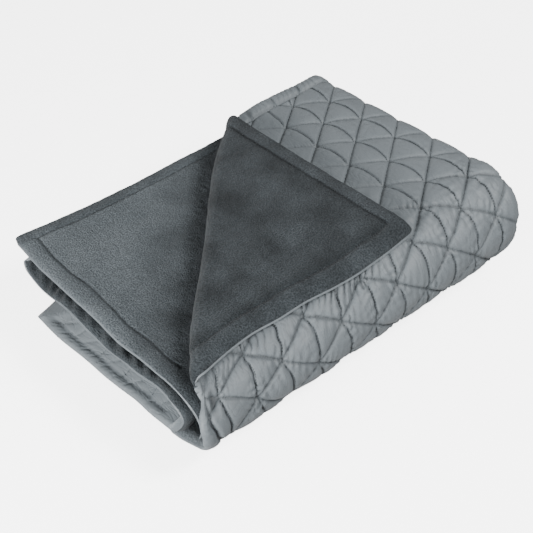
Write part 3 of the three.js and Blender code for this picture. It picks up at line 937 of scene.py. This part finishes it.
def shown_low(cross, run):
    """1 where the far fold of the lower layers shows, less on the small left fold, 0 elsewhere."""
    low_far = between(run, *LOW_FAR_RUN) * (cross > CROSS_ENDS[1]) * (1 - ease(cross, *LOW_FAR_CROSS))
    return np.maximum(low_far, LEFT_FOLD_SHARE * between(cross, *LEFT_FOLD_CROSS))


def calm_at(cross, run):
    """Share of the quilting's height: lower on top, round the far fold and low on the side."""
    calm = mix(TOP_CALM, 1.0, ease(cross, *TOP_CALM_SPAN)) - FAR_CALM * ease(run, *FAR_CALM_SPAN)
    return calm * mix(1.0, LOW_CALM, ease(cross, *LOW_CALM_SPAN))


print("quilting's share at the near hem and far fold:", calm_at(TOP_WIDTH, sample_run[[0, -1]]).round(2))

# %% Height of the quilted face
NEAR_END_CALM = 0.35         # the quilting is lowest on the drooping near end
NEAR_STRIP_LEVEL = 0.0008
NEAR_STRIP_SHARE = 0.45
FAR_TACKS = 0.55             # tacks are this deep on the far end hem
GROOVE_DEPTHS = (0.0036, 0.0012)    # seam of the hem strip, on top and on the near end
GROOVE_WIDTHS = (0.0028, 0.0020)
STRIP_TO_FIELD = (-0.002, 0.008)
CORNER_FLAT = 0.03           # the face passes into a flat one over this distance to the corner's fold line
UNDER_SPAN = 0.01            # and under the turned corner over this distance past its strip


def quilt_rise(cross, run):
    """Height of the quilted face over the middle of its layer: quilting, strips, and flat where hidden."""
    on_top = shown_top(cross, run)
    near_end = shown_near_end(cross, run)
    detail = np.maximum(on_top, near_end)
    quilting = quilting_height(cross, run, detail)
    field = QUILT_SEAM + quilting * mix(calm_at(cross, run), NEAR_END_CALM, near_end)
    share, past_seam, along_hem = hem_strip(cross, run)
    tacked = np.where(cross < SIDE_STRIP, 1.0, FAR_TACKS * (run > RUN_ENDS[1]))
    strip = hem_strip_height(share, along_hem, tacked)
    low_strip = QUILT_SEAM + NEAR_STRIP_LEVEL + NEAR_STRIP_SHARE * (strip - STRIP_LEVEL)
    strip = mix(strip, low_strip, near_end)
    gathers = HOLLOW_DEPTH * hollow_at(cross, run) + GATHER_DEPTH * on_top * gathers_at(cross, run)
    groove = mix(*GROOVE_DEPTHS, near_end) * bell(past_seam, mix(*GROOVE_WIDTHS, near_end))
    raised = mix(strip, field, ease(past_seam, *STRIP_TO_FIELD)) - groove - gathers
    past = corner_past(cross, run)
    raised = mix(QUILT_SEAM, raised, smooth(-past / CORNER_FLAT))
    hidden = mix(QUILT_FLAT, QUILT_SEAM + quilting, shown_low(cross, run))
    turned_under = mix(strip, QUILT_SEAM, smooth(past_seam / UNDER_SPAN))
    rise = np.where(past > 0, turned_under, mix(hidden, raised, detail))
    return rounded_edge(QUILT_BACK + EDGE_LIP, rise, cross, run)


print("highest point of the face on that line:", quilt_rise(TOP_WIDTH, sample_run).max().round(4), "m")

# %% Steps of the grids
FINE = 0.00225
SIDE_EDGE = 0.372            # the top layer is hidden under the turned corner up to here
SHOWN_FROM = 0.392           # and along the blanket up to here
NEAR_END = 0.13              # length of the near ends, which show
CLOSE_COLUMNS = [0.0, 0.0015, 0.004, 0.008, 0.014]
CLOSE_UP_TO = 0.02
PAST_LEFT_FOLD = CROSS_ENDS[4] + 0.04


def stretch(start, end, step):
    """Even positions from start up to, but not at, end, about a step apart."""
    return np.linspace(start, end, max(1, round((end - start) / step)), endpoint=False)


def stretches(marks, steps):
    """Even positions from mark to mark, with a step for each stretch, up to but not at the last mark."""
    return np.concatenate([stretch(*ends, step) for *ends, step in zip(marks[:-1], marks[1:], steps)])


def run_columns(*steps):
    """Columns along the cloth, with a step for each stretch: two in each half and one in the far fold."""
    marks = [0.0, SHOWN_FROM, RUN_ENDS[1], RUN_ENDS[2], RUN_ENDS[-1] - NEAR_END, RUN_ENDS[-1]]
    return np.append(stretches(marks, steps), RUN_ENDS[-1])


def close_edge(columns):
    """Columns with a few close steps at the near hem, so that its rounded edge goes on."""
    return np.concatenate([CLOSE_COLUMNS, columns[columns > CLOSE_UP_TO]])


# %% The quilted cloth
quilt_bands = [
    (stretch(0.0, SIDE_EDGE, FINE), run_columns(0.0115, FINE, 0.0036, 0.08, 0.03)),
    (stretch(SIDE_EDGE, CROSS_ENDS[2], FINE), run_columns(FINE, FINE, 0.0036, 0.08, 0.03)),
    (stretches(CROSS_ENDS[2:4], [0.0033]), close_edge(run_columns(0.03, 0.03, 0.0040, 0.05, 0.0030))),
    (
        stretches([*CROSS_ENDS[3:5], PAST_LEFT_FOLD], [0.003, 0.005]),
        run_columns(0.0065, 0.0065, 0.008, 0.0065, 0.0065),
    ),
    (
        np.append(stretches([PAST_LEFT_FOLD, *CROSS_ENDS[5:]], [0.03, 0.01, 0.02]), CROSS_ENDS[-1]),
        run_columns(0.02, 0.03, 0.008, 0.05, 0.012),
    ),
]
inner_bands = [
    (stretch(0.0, CROSS_ENDS[1], 0.0060), run_columns(0.0060, 0.02, 0.008, 0.06, 0.012)),
    (
        np.append(stretches(CROSS_ENDS[1:], [0.008, 0.018, 0.004, 0.02, 0.008, 0.018]), CROSS_ENDS[-1]),
        run_columns(0.012, 0.02, 0.008, 0.06, 0.008),
    ),
]
quilted_face, quilt_places = closed_cloth(
    "quilted_cloth_face", quilt_bands, quilt_rise, inner_bands, level_face(QUILT_BACK), 0.0
)

# %% Painted shade in the seams and gathers
# painted shade: how dark the seam valleys, the gathers and the hollow are painted, on top and on the side
SEAM_WIDTH = 0.0016
SEAM_PAINTED_SHADE = (0.32, 0.62)     # on top and on the side
STRIP_SEAM = 0.002           # up to this far past the strip's seam, that seam alone counts
HOLLOW_PAINTED_SHADE = 0.9
GATHER_PAINTED_SHADE = 0.75


def seam_shade(cross, run):
    """Painted shade of the cover: bells over the seams of the top and its side, the gathers and the hollow.
    """
    line = np.min(seam_distances(bent_shares(cross, run)), axis=0)
    past_strip = hem_strip(cross, run)[1]
    line = np.where(past_strip > STRIP_SEAM, np.minimum(line, past_strip), np.abs(past_strip))
    on_top = (cross < CROSS_ENDS[2]) & (run < RUN_ENDS[2])
    seams = on_top * mix(*SEAM_PAINTED_SHADE, ease(cross, *TOP_CALM_SPAN)) * bell(line, SEAM_WIDTH)
    gathers = GATHER_PAINTED_SHADE * on_top * gathers_at(cross, run)
    return np.max([seams, gathers, HOLLOW_PAINTED_SHADE * hollow_at(cross, run)], axis=0)


seam_shade_values = seam_shade(*quilt_places.T)
# the painted shade of seams, gathers and hollow is stored under the name seam
point_values(quilted_face, "seam", seam_shade_values)
print("share of points on a dark seam:", round(float(np.mean(seam_shade_values > SEAM_PAINTED_SHADE[0] / 2)), 3))

# %% [markdown]
# ## The fleece
#
# The fleece is a thick soft cloth with a short pile. Its hem is turned once and stitched down, which leaves
# a puffy strip along each edge with a groove beside it. It is made on the same fold as the quilting, a
# little lower, so that the two cloths stay together everywhere. Its edge is set back a little, so the
# quilted cloth's edge shows past it as a thin light line.

# %% Height of the fleece
HEM_WIDTH = 0.025
HEM_ROLL = 0.0017
HEM_GROOVE = 0.0016
HEM_GROOVE_WIDTH = 0.0018
HEM_WANDER = 0.0030          # the hem's seam strays by this much
HEM_WANDER_LENGTH = 0.045
HEM_WANDER_ROW = 0.5         # along this row of the lattice
TIE = 1e-9                   # a point this near to both hems counts as on the side hem
SOFT_GRAIN = 0.0005          # height of soft swells, and of the tufts that the nap lies in
SOFT_SIZE = 0.03
NAP_GRAIN = 0.0005
NAP_SIZE = 0.0052
SAG_DEPTH = 0.0022           # wrinkles on the fourth layer's drooping end
SAG_PITCH = 0.030
SAG_SLANT = 1.1
SAG_SWAY = 4
SAG_SIZE = 0.07
SAG_RUN = (RUN_ENDS[-1] - 0.13, 0.05)
SAG_CROSS = (CROSS_ENDS[1] - 0.05, 0.05)


def hem_wander(along_hem):
    """How far the hem's seam strays from its line, along the hem."""
    return HEM_WANDER * uneven(along_hem / HEM_WANDER_LENGTH, HEM_WANDER_ROW)


def hem_crease(cross, run):
    """Bell over the hem's seam, which strays a little from its line."""
    distance = hem_distance(cross, run)
    by_side = edge_distances(cross, run)[0] < distance + TIE
    along_hem = np.where(by_side, run, cross)
    return bell(distance - HEM_WIDTH - hem_wander(along_hem), HEM_GROOVE_WIDTH)


def fleece_rise(cross, run):
    """Outer side of the fleece: a rolled hem, a stitched groove, soft unevenness and sagging wrinkles."""
    hem = HEM_ROLL * np.sin(math.pi * np.clip(hem_distance(cross, run) / HEM_WIDTH, 0.0, 1.0))
    groove = HEM_GROOVE * hem_crease(cross, run)
    soft = SOFT_GRAIN * patches(cross, run, SOFT_SIZE) + NAP_GRAIN * patches(cross, run, NAP_SIZE)
    sagging = ease(run, *SAG_RUN) * (1 - ease(cross, *SAG_CROSS))
    sag = waves(cross - SAG_SLANT * run, SAG_PITCH, SAG_SWAY * patches(cross, run, SAG_SIZE, 0, 40))
    rise = FLEECE_BACK - hem + groove + soft + SAG_DEPTH * sagging * sag
    return rounded_edge(FLEECE_FRONT - EDGE_LIP, rise, cross, run)


print("fleece on that line: down to", fleece_rise(TOP_WIDTH, sample_run).min().round(4), "m")

# %% The fleece cloth
PILE_STEP = 0.0027
HEM_STEP = 0.0016            # the grid is finer where the hem's seam shows
HEM_ZONE = 0.036
FLEECE_SETBACK = 0.0021


def finer_hem(columns):
    """Columns with finer steps over the hem at their start."""
    return np.concatenate([stretch(0.0, HEM_ZONE, HEM_STEP), columns[columns >= HEM_ZONE]])


last_rows = stretches([CROSS_ENDS[6], CROSS_ENDS[7] - HEM_ZONE, CROSS_ENDS[7]], [PILE_STEP, HEM_STEP])
fleece_bands = [
    (
        finer_hem(stretch(0.0, CROSS_ENDS[1], PILE_STEP)),
        finer_hem(run_columns(PILE_STEP, 0.008, 0.008, 0.05, 0.004)),
    ),
    (
        stretches(CROSS_ENDS[1:7], [0.006, 0.016, 0.003, 0.02, 0.006]),
        run_columns(0.008, 0.02, 0.008, 0.05, 0.004),
    ),
    (
        np.append(last_rows, CROSS_ENDS[-1]),
        finer_hem(run_columns(PILE_STEP, 0.02, 0.012, 0.06, 0.02)),
    ),
]
fleece_back, fleece_places = closed_cloth(
    "fleece_cloth_back", inner_bands, level_face(FLEECE_FRONT), fleece_bands, fleece_rise, FLEECE_SETBACK
)

# %% Painted shade and light of the fleece, and painted shade of its hem creases
# painted shade on the turned corner, less on its hem, painted shadow beside the corner's fold, and painted
# shade past the far fold and along the last side hem
CORNER_SHADE_SPAN = (-0.012, 0.03)  # the nap is turned on the corner
CORNER_HEM_PAINTED_LIGHT = 0.05        # a little less on its hem
HEM_LIGHT_SPAN = (-0.004, 0.004)
FOLD_SHADOW_SPAN = (0.22, 0.20)      # and on the second layer beside the corner's fold
SECOND_HALF_PAINTED_SHADE = 0.82
SIDE_HEM_PAINTED_SHADE = 0.55
SIDE_HEM_SPAN = (CROSS_ENDS[-1] - HEM_WIDTH - 0.004, 0.008)
# painted shadow beside the hem's seam on the turned corner
BESIDE_HEM = 0.002           # on the corner a soft shade lies beside the hem's seam
BESIDE_HEM_WIDTH = 0.009


def nap_shade_at(cross, run):
    """Painted shade of the fleece, for nap turned away from the light: the greatest of four eased regions.
    """
    on_corner = ease(corner_past(cross, run), *CORNER_SHADE_SPAN)
    hem_light = CORNER_HEM_PAINTED_LIGHT * (1 - ease(hem_distance(cross, run) - HEM_WIDTH, *HEM_LIGHT_SPAN))
    fold_shadow = ease(CROSS_ENDS[-1] - cross + run, *FOLD_SHADOW_SPAN)
    fold_shadow = fold_shadow * (cross > CROSS_ENDS[5]) * (run < RUN_ENDS[1])
    second_half_shade = SECOND_HALF_PAINTED_SHADE * (run > RUN_ENDS[2])
    side_hem_shade = SIDE_HEM_PAINTED_SHADE * ease(cross, *SIDE_HEM_SPAN)
    return np.max([on_corner * (1 - hem_light), fold_shadow, second_half_shade, side_hem_shade], axis=0)


def hem_seam_shade(cross, run):
    """Painted shade in the hem's seam, with a soft bell of painted shadow beside it on the turned corner."""
    on_corner = ease(corner_past(cross, run), *CORNER_SHADE_SPAN)
    from_hem = hem_distance(cross, run) - HEM_WIDTH
    beside = ease(from_hem, -BESIDE_HEM, BESIDE_HEM) * bell(from_hem - BESIDE_HEM, BESIDE_HEM_WIDTH)
    return np.maximum(hem_crease(cross, run), on_corner * beside)


nap_shade_values = nap_shade_at(*fleece_places.T)
# the painted shade of the fleece is stored under the name nap
point_values(fleece_back, "nap", nap_shade_values)
# the painted shade of the hem seams is stored under the name crease
point_values(fleece_back, "crease", hem_seam_shade(*fleece_places.T))
print("share of points with turned nap:", round(float(np.mean(nap_shade_values > 0.5)), 3))

# %% [markdown]
# ## The stitches
#
# Quilting thread goes in and out of the cloth, so a seam shows as a row of short dashes, and so does the
# stitching of the fleece hems. Painting them would leave the seam flat. Each dash here is a small lens of
# eight triangles, laid in the valley of its seam and turned along it. The quilting's dashes are one mesh
# and those of the hems another.

# %% One mesh of stitches
STITCH_PITCH = 0.0038
STITCH_SIZE = np.array([0.0030, 0.0012, 0.0008])
STITCH_REACH = 0.0015        # the cloth's slope is taken over this distance to each side
LENS_POINTS = np.array([[0.5, 0, 0], [0, 0.5, 0], [-0.5, 0, 0], [0, -0.5, 0], [0, 0, 0.5], [0, 0, -0.5]])
LENS_FACES = np.array([
    [0, 1, 4], [1, 2, 4], [2, 3, 4], [3, 0, 4], [1, 0, 5], [2, 1, 5], [3, 2, 5], [0, 3, 5],
])


def seam_places(slope, first, length, count=1, spacing=(0.0, 0.0)):
    """Flat places along parallel seams, with the direction of each: row starts plus even steps."""
    direction = np.array(slope) / np.hypot(*slope)
    steps = np.arange(0.0, length, STITCH_PITCH)
    starts = np.array(first) + np.arange(count)[:, None] * np.array(spacing)
    places = starts[:, None, :] + steps[None, :, None] * direction
    return places.reshape(-1, 2), np.broadcast_to(direction, (count * len(steps), 2))


def stitch_piece(name, places, directions, rise_at, lift, setback):
    """One mesh of lenses: each stands on the cloth, along its seam, with the cloth's own normal."""
    at = lambda offset: folded(*set_back(*(places + offset).T, setback), rise_at(*places.T) + lift)
    across = directions[:, ::-1] * np.array([-1, 1])
    forward = at(directions * STITCH_REACH) - at(-directions * STITCH_REACH)
    sideways = at(across * STITCH_REACH) - at(-across * STITCH_REACH)
    forward /= np.linalg.norm(forward, axis=1, keepdims=True)
    normal = np.cross(forward, sideways)
    normal /= np.linalg.norm(normal, axis=1, keepdims=True)
    axes = np.stack([forward, np.cross(normal, forward), normal], axis=1)
    points = at(0.0)[:, None, :] + np.einsum("pk,skc->spc", LENS_POINTS * STITCH_SIZE, axes)
    faces = LENS_FACES[None] + len(LENS_POINTS) * np.arange(len(places))[:, None, None]
    return mesh_piece(name, points.reshape(-1, 3), faces.reshape(-1, 3))


# %% Seams of the quilting
SHOWN_CROSS = 0.60           # stitches are kept where they show
SHOWN_RUN = TOP_LENGTH + 0.085
FOLD_CLEARANCE = 0.010
NEAR_END_SEAMS = RUN_ENDS[-1] - 0.12
STRIP_CLEARANCE = 0.003


def bent_rows(rows):
    """Row stitches moved onto the bent rows: a parabola between crossings, with its slope as direction."""
    cells = (rows - np.array(FIRST_CROSSING)) / np.array([CELL_ACROSS, ROW_PITCH])
    share = cells[:, 0] - cells[:, 1] / 2
    share = share - np.floor(share)
    bend = ROW_BEND * 4 * share * (1 - share)
    slope = ROW_BEND * 4 * (1 - 2 * share) / CELL_ACROSS
    directions = np.stack([np.ones_like(slope), slope], axis=1) / np.hypot(1, slope)[:, None]
    return np.stack([rows[:, 0], rows[:, 1] + bend], axis=1), directions


def shown_seams(cross, run):
    """True for stitches on the top and its sides past the corner's fold, and on the near end below."""
    top = (cross < SHOWN_CROSS) & (run > 0) & (run < SHOWN_RUN)
    top = top & (corner_past(cross, run) < -FOLD_CLEARANCE)
    low = (cross > CROSS_ENDS[2]) & (cross < CROSS_ENDS[3])
    low = low & (run > NEAR_END_SEAMS) & (run < RUN_ENDS[-1])
    return (top | low) & (hem_strip(cross, run)[1] > -STRIP_CLEARANCE)


# %% Thread of the quilting
ROW_COUNT = 26
ROW_LENGTH = 1.0
SLANT_COUNT = 24
SLANT_LENGTH = 1.6
SLANT_LEAD = 10              # the even slants start this many cells before the first crossing
SIDE_SEAM_LENGTH = 0.8
SEWING_ROUNDS = 6            # rounds of correction from a sewn place to its place on the cloth
CROSSING_SHARE = 0.94        # the slants skip their stitches at a crossing
QUILTING_LIFT = 0.0007


def quilting_seams():
    """Places of all the stitches: the rows, the two slanting families, and the topstitching of the hems."""
    c0, r0 = FIRST_CROSSING
    half = CELL_ACROSS / 2
    start = r0 - ROW_PITCH
    rows = seam_places((1, 0), (0.0, r0), ROW_LENGTH, ROW_COUNT, (0.0, ROW_PITCH))[0]
    slants = (SLANT_LENGTH, SLANT_COUNT, (CELL_ACROSS, 0.0))
    near_row, near_direction = seam_places((1, 0), (0.0, 0.0), CROSS_ENDS[2])
    near_row = near_row + np.stack([0 * near_row[:, 0], near_strip(near_row[:, 0])], axis=1)
    families = [
        bent_rows(rows),
        seam_places((half, ROW_PITCH), (c0 - half - SLANT_LEAD * CELL_ACROSS, start), *slants),
        seam_places((-half, ROW_PITCH), (c0 + half, start), *slants),
        (near_row, near_direction),
        seam_places((0, 1), (SIDE_STRIP, 0.0), SIDE_SEAM_LENGTH),
    ]
    sewn, directions = (np.concatenate(parts) for parts in zip(*families))
    slanting = np.concatenate([np.full(len(family[0]), k in (1, 2)) for k, family in enumerate(families)])
    places = sewn
    for step in range(SEWING_ROUNDS):
        places = sewn - (np.stack(sewn_place(*places.T), axis=1) - places)
    at_crossing = np.max(bent_shares(*places.T), axis=0) > CROSSING_SHARE
    kept = shown_seams(*places.T) & ~(slanting & at_crossing)
    return places[kept], directions[kept]


quilting_thread = stitch_piece("quilting_thread", *quilting_seams(), quilt_rise, QUILTING_LIFT, 0.0)

# %% Thread of the fleece hems
HEM_STITCH_LIFT = -0.0009
CORNER_SEAM_LENGTH = CORNER_LEG - 2.2 * HEM_WIDTH


def hem_seams():
    """Places of the stitches of the hems that show: two on the turned corner, two on the second layer."""
    last = CROSS_ENDS[-1]
    hems = [
        seam_places((1, 0), (HEM_WIDTH, HEM_WIDTH), CORNER_SEAM_LENGTH),
        seam_places((0, 1), (HEM_WIDTH, HEM_WIDTH), CORNER_SEAM_LENGTH),
        seam_places((1, 0), (last - TOP_WIDTH, HEM_WIDTH), TOP_WIDTH - HEM_WIDTH),
        seam_places((0, 1), (last - HEM_WIDTH, HEM_WIDTH), TOP_LENGTH - HEM_WIDTH),
    ]
    places, directions = (np.concatenate(parts) for parts in zip(*hems))
    inwards = directions[:, ::-1] * np.where(places[:, :1] > last / 2, np.array([-1, 1]), 1)
    along_hem = np.sum(places * directions, axis=1)
    return places + inwards * hem_wander(along_hem)[:, None], directions


hem_thread = stitch_piece("hem_thread", *hem_seams(), fleece_rise, HEM_STITCH_LIFT, FLEECE_SETBACK)

# %% [markdown]
# ## Finishes
#
# The cover is a tight woven cloth with a faint gloss, so its colour hardly changes. A fine grain stands for
# its threads, and two sets of fine creases, too small for the mesh, lie over it. Its seams, gathers and
# hollow are painted darker as shade. The fleece is a matt pile.
# Its colour lies in soft lighter and darker patches, a painted sheen, and a darker copy of it is painted
# shade: on the turned corner, where the nap lies the other way round, so that the same cloth looks darker,
# beside the corner's fold as painted shadow, past the far fold and along the last side hem. Both materials
# read the flat place of each point, so the grain bends with the cloth, and the painted shades that were
# stored with the points.

# %% Nodes for the finishes
def add_node(tree, kind, inputs, **settings):
    """New node with settings; an input is given as a value, or as the output that is linked to it."""
    node = tree.nodes.new(kind)
    for name, setting in settings.items():
        setattr(node, name, setting)
    for name, value in inputs.items():
        if isinstance(value, bpy.types.NodeSocket):
            tree.links.new(value, node.inputs[name])
        else:
            node.inputs[name].default_value = value
    return node


def flat_place(tree):
    """Place of each point on the flat cloth, from the UV map."""
    return add_node(tree, "ShaderNodeUVMap", {}, uv_map="flat_cloth").outputs["UV"]


def stored_value(tree, name):
    """Number that was stored for each point under a name."""
    return add_node(tree, "ShaderNodeAttribute", {}, attribute_name=name).outputs["Fac"]


def noise_node(tree, place, scale, detail, twist=0.0):
    """Noise over a place, with a scale in cells per metre."""
    inputs = {"Vector": place, "Scale": scale, "Detail": detail, "Distortion": twist}
    return add_node(tree, "ShaderNodeTexNoise", inputs).outputs[0]


# %% Colours, ramps and bumps
def colour_mix(tree, factor, first, second, blend="MIX"):
    """Blend of two colours by a factor; a colour may be a value or the output of another node."""
    inputs = {0: factor, 6: first, 7: second}
    return add_node(tree, "ShaderNodeMix", inputs, data_type="RGBA", blend_type=blend).outputs[2]


def ramp_node(tree, value, low, high):
    """Straight ramp of a value from 0 at low to 1 at high."""
    inputs = {"Value": value, "From Min": low, "From Max": high}
    return add_node(tree, "ShaderNodeMapRange", inputs).outputs["Result"]


def bump_node(tree, height, strength, distance, **normal):
    """Bump from a height, over another bump where one is given."""
    inputs = {"Height": height, "Strength": strength, "Distance": distance, **normal}
    return add_node(tree, "ShaderNodeBump", inputs).outputs["Normal"]


def plain_material(name, colour, roughness):
    """Principled material of one colour, to build on."""
    material = bpy.data.materials.new(name)
    material.use_nodes = True
    shader = material.node_tree.nodes["Principled BSDF"]
    shader.inputs["Base Color"].default_value = (*colour, 1.0)
    shader.inputs["Roughness"].default_value = roughness
    return material, material.node_tree, shader


# %% The woven cover
COVER_PLAIN = (0.17, 0.19, 0.20)
COVER_DARK = (0.077, 0.089, 0.097, 1.0)
COVER_LIGHT = (0.094, 0.107, 0.115, 1.0)
COVER_GRAIN = (0.108, 0.121, 0.129, 1.0)
# colour of the painted shade in the seams, gathers and hollow
COVER_PAINTED_SHADE = (0.030, 0.034, 0.037, 1.0)
COVER_CREASES = ((0.5, (18.0, 48.0)), (-0.9, (14.0, 60.0)))    # turn, and cells per metre both ways
CREASE_TWIST = 0.8
CREASE_WIDTH = 0.035
CREASE_BUMP = (0.20, 0.0016)
GRAIN_BUMP = (0.25, 0.0008)


def crease_node(tree, place, turn, scale):
    """Fine creases: lines where a stretched, twisted noise passes its middle value."""
    inputs = {"Vector": place, "Rotation": (0.0, 0.0, turn), "Scale": (*scale, 1.0)}
    laid = add_node(tree, "ShaderNodeMapping", inputs).outputs["Vector"]
    noise = noise_node(tree, laid, 1.0, 1.0, CREASE_TWIST)
    middle = add_node(tree, "ShaderNodeMath", {0: noise, 1: 0.5}, operation="SUBTRACT").outputs[0]
    away = add_node(tree, "ShaderNodeMath", {0: middle}, operation="ABSOLUTE").outputs[0]
    return ramp_node(tree, away, 0.0, CREASE_WIDTH)


def cover_material():
    """Woven cover: soft patches and a fine grain of close greys, painted shade in the seams, and fine
    creases.
    """
    material, tree, shader = plain_material("quilted_cover", COVER_PLAIN, 0.55)
    place = flat_place(tree)
    patch = ramp_node(tree, noise_node(tree, place, 22.0, 2.0), 0.3, 0.7)
    grain = noise_node(tree, place, 520.0, 3.0)
    tone = colour_mix(tree, patch, COVER_DARK, COVER_LIGHT)
    tone = colour_mix(tree, ramp_node(tree, grain, 0.35, 0.75), tone, COVER_GRAIN)
    # the stored seam values paint shade into the seams, gathers and hollow
    tone = colour_mix(tree, stored_value(tree, "seam"), tone, COVER_PAINTED_SHADE)
    tree.links.new(tone, shader.inputs["Base Color"])
    normal = {}
    for turn, scale in COVER_CREASES:
        normal = {"Normal": bump_node(tree, crease_node(tree, place, turn, scale), *CREASE_BUMP, **normal)}
    tree.links.new(bump_node(tree, grain, *GRAIN_BUMP, **normal), shader.inputs["Normal"])
    shader.inputs["Specular IOR Level"].default_value = 0.25
    shader.inputs["Sheen Weight"].default_value = 0.05
    return material


quilted_face.data.materials.append(cover_material())
print("woven cover:", len(quilted_face.active_material.node_tree.nodes), "nodes")

# %% The fleece pile
FLEECE_PLAIN = (0.10, 0.112, 0.122)
# lit and shaded copies of the pile: the shaded copy is painted shade, and their soft patches are painted
# sheen
LIT_DARK = (0.070, 0.081, 0.088, 1.0)
LIT_LIGHT = (0.092, 0.104, 0.112, 1.0)
SHADED_COPY_DARK = (0.016, 0.019, 0.021, 1.0)
SHADED_COPY_LIGHT = (0.044, 0.051, 0.056, 1.0)
TUFT_SHADE = (0.34, 0.36, 0.37, 1.0)
CREASE_SHADE = (0.68, 0.69, 0.69, 1.0)
TUFT_BUMP = (0.9, 0.0026)


def fleece_material():
    """Fleece: tufts of pile, light or dark as they lie, patches of painted sheen, and painted shade where
    the nap is turned.
    """
    material, tree, shader = plain_material("fleece_pile", FLEECE_PLAIN, 0.95)
    place = flat_place(tree)
    patch = ramp_node(tree, noise_node(tree, place, 16.0, 3.0), 0.3, 0.7)
    tufts = noise_node(tree, place, 450.0, 3.0)
    lit = colour_mix(tree, patch, LIT_DARK, LIT_LIGHT)
    away = colour_mix(tree, patch, SHADED_COPY_DARK, SHADED_COPY_LIGHT)
    # the stored nap values mix in the painted shade
    tone = colour_mix(tree, stored_value(tree, "nap"), lit, away)
    tone = colour_mix(tree, ramp_node(tree, tufts, 0.62, 0.36), tone, TUFT_SHADE, "MULTIPLY")
    # the stored crease values paint shade into the hem seams and beside them
    tone = colour_mix(tree, stored_value(tree, "crease"), tone, CREASE_SHADE, "MULTIPLY")
    tree.links.new(tone, shader.inputs["Base Color"])
    tree.links.new(bump_node(tree, tufts, *TUFT_BUMP), shader.inputs["Normal"])
    shader.inputs["Specular IOR Level"].default_value = 0.05
    shader.inputs["Sheen Weight"].default_value = 0.05
    shader.inputs["Sheen Roughness"].default_value = 0.6
    return material


fleece_back.data.materials.append(fleece_material())
print("fleece pile:", len(fleece_back.active_material.node_tree.nodes), "nodes")

# %% The threads
QUILTING_THREAD = (0.036, 0.041, 0.045)
HEM_THREAD = (0.014, 0.016, 0.018)
quilting_thread.data.materials.append(plain_material("quilting_thread", QUILTING_THREAD, 0.8)[0])
hem_thread.data.materials.append(plain_material("hem_thread", HEM_THREAD, 0.9)[0])
print("threads:", quilting_thread.active_material.name, "and", hem_thread.active_material.name)

# %% [markdown]
# ## Floor and light
#
# The photograph has a pure white ground. The floor here is pale and glows, but it is hidden from the rays
# that would light the cloth from below or shade it, so that it stays nearly white without changing the
# cloth. The world gives an even light all round. A large soft light from the front right and above casts
# part of the shade beside the turned corner, the rest of which is painted into the fleece, and a low one
# from the left opens the ends of the layers.

# %% The floor
FLOOR_HALF = 6
FLOOR_TONE = (0.9, 0.9, 0.9)
FLOOR_GLOW = 4.0


def add_floor():
    """Plain pale floor, wide enough to fill the picture, that glows like a lit sweep."""
    mesh = bpy.data.meshes.new("studio_floor")
    corners = [(FLOOR_HALF * a, FLOOR_HALF * b, 0) for a, b in ((-1, -1), (1, -1), (1, 1), (-1, 1))]
    mesh.from_pydata(corners, [], [(0, 1, 2, 3)])
    floor = add_object("studio_floor", mesh)
    material, tree, shader = plain_material("pale_floor", FLOOR_TONE, 0.9)
    shader.inputs["Emission Color"].default_value = (1, 1, 1, 1)
    shader.inputs["Emission Strength"].default_value = FLOOR_GLOW
    floor.data.materials.append(material)
    floor.visible_diffuse = False
    floor.visible_glossy = False
    floor.visible_shadow = False
    floor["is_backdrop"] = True
    return floor


floor = add_floor()
print("floor:", 2 * FLOOR_HALF, "m wide")

# %% The lights
WORLD_LIGHT = 0.5
AIM = (0, 0, 0.05)           # both lights face the middle of the blanket


def add_area_light(name, place, size, power):
    """Square soft light at a place, turned to face the aim."""
    data = bpy.data.lights.new(name, "AREA")
    data.size = size
    data.energy = power
    light = add_object(name, data)
    light.location = place
    direction = np.array(AIM) - np.array(place)
    level = math.hypot(direction[0], direction[1])
    turn = math.atan2(direction[1], direction[0]) - math.pi / 2
    light.rotation_euler = (math.atan2(level, -direction[2]), 0.0, turn)
    return light


def add_world():
    """Even white light from all round."""
    world = bpy.data.worlds.new("studio_world")
    world.use_nodes = True
    background = world.node_tree.nodes["Background"]
    background.inputs["Color"].default_value = (1, 1, 1, 1)
    background.inputs["Strength"].default_value = WORLD_LIGHT
    bpy.context.scene.world = world


key_light = add_area_light("key_light", (1.1, -1.5, 2.1), 0.9, 118)
left_light = add_area_light("left_light", (-2.3, -0.6, 0.5), 0.8, 175)
add_world()
print("lights:", key_light.name, key_light.data.energy, "W,", left_light.name, left_light.data.energy, "W")

# %% [markdown]
# ## Hand over the pieces
#
# Each cloth takes the place of one solid of the imported model, and its thread goes with it.

# %% Hand over the pieces
for piece, slot in (
    (quilted_face, "quilted_cloth"),
    (quilting_thread, "quilted_cloth"),
    (fleece_back, "fleece"),
    (hem_thread, "fleece"),
):
    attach(piece, "root")
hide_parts("quilted_face")
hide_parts("fleece_back")

boxes = {"cad": cad_box, "visual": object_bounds()}
{name: [list(map(float, corner)) for corner in box] for name, box in boxes.items()}
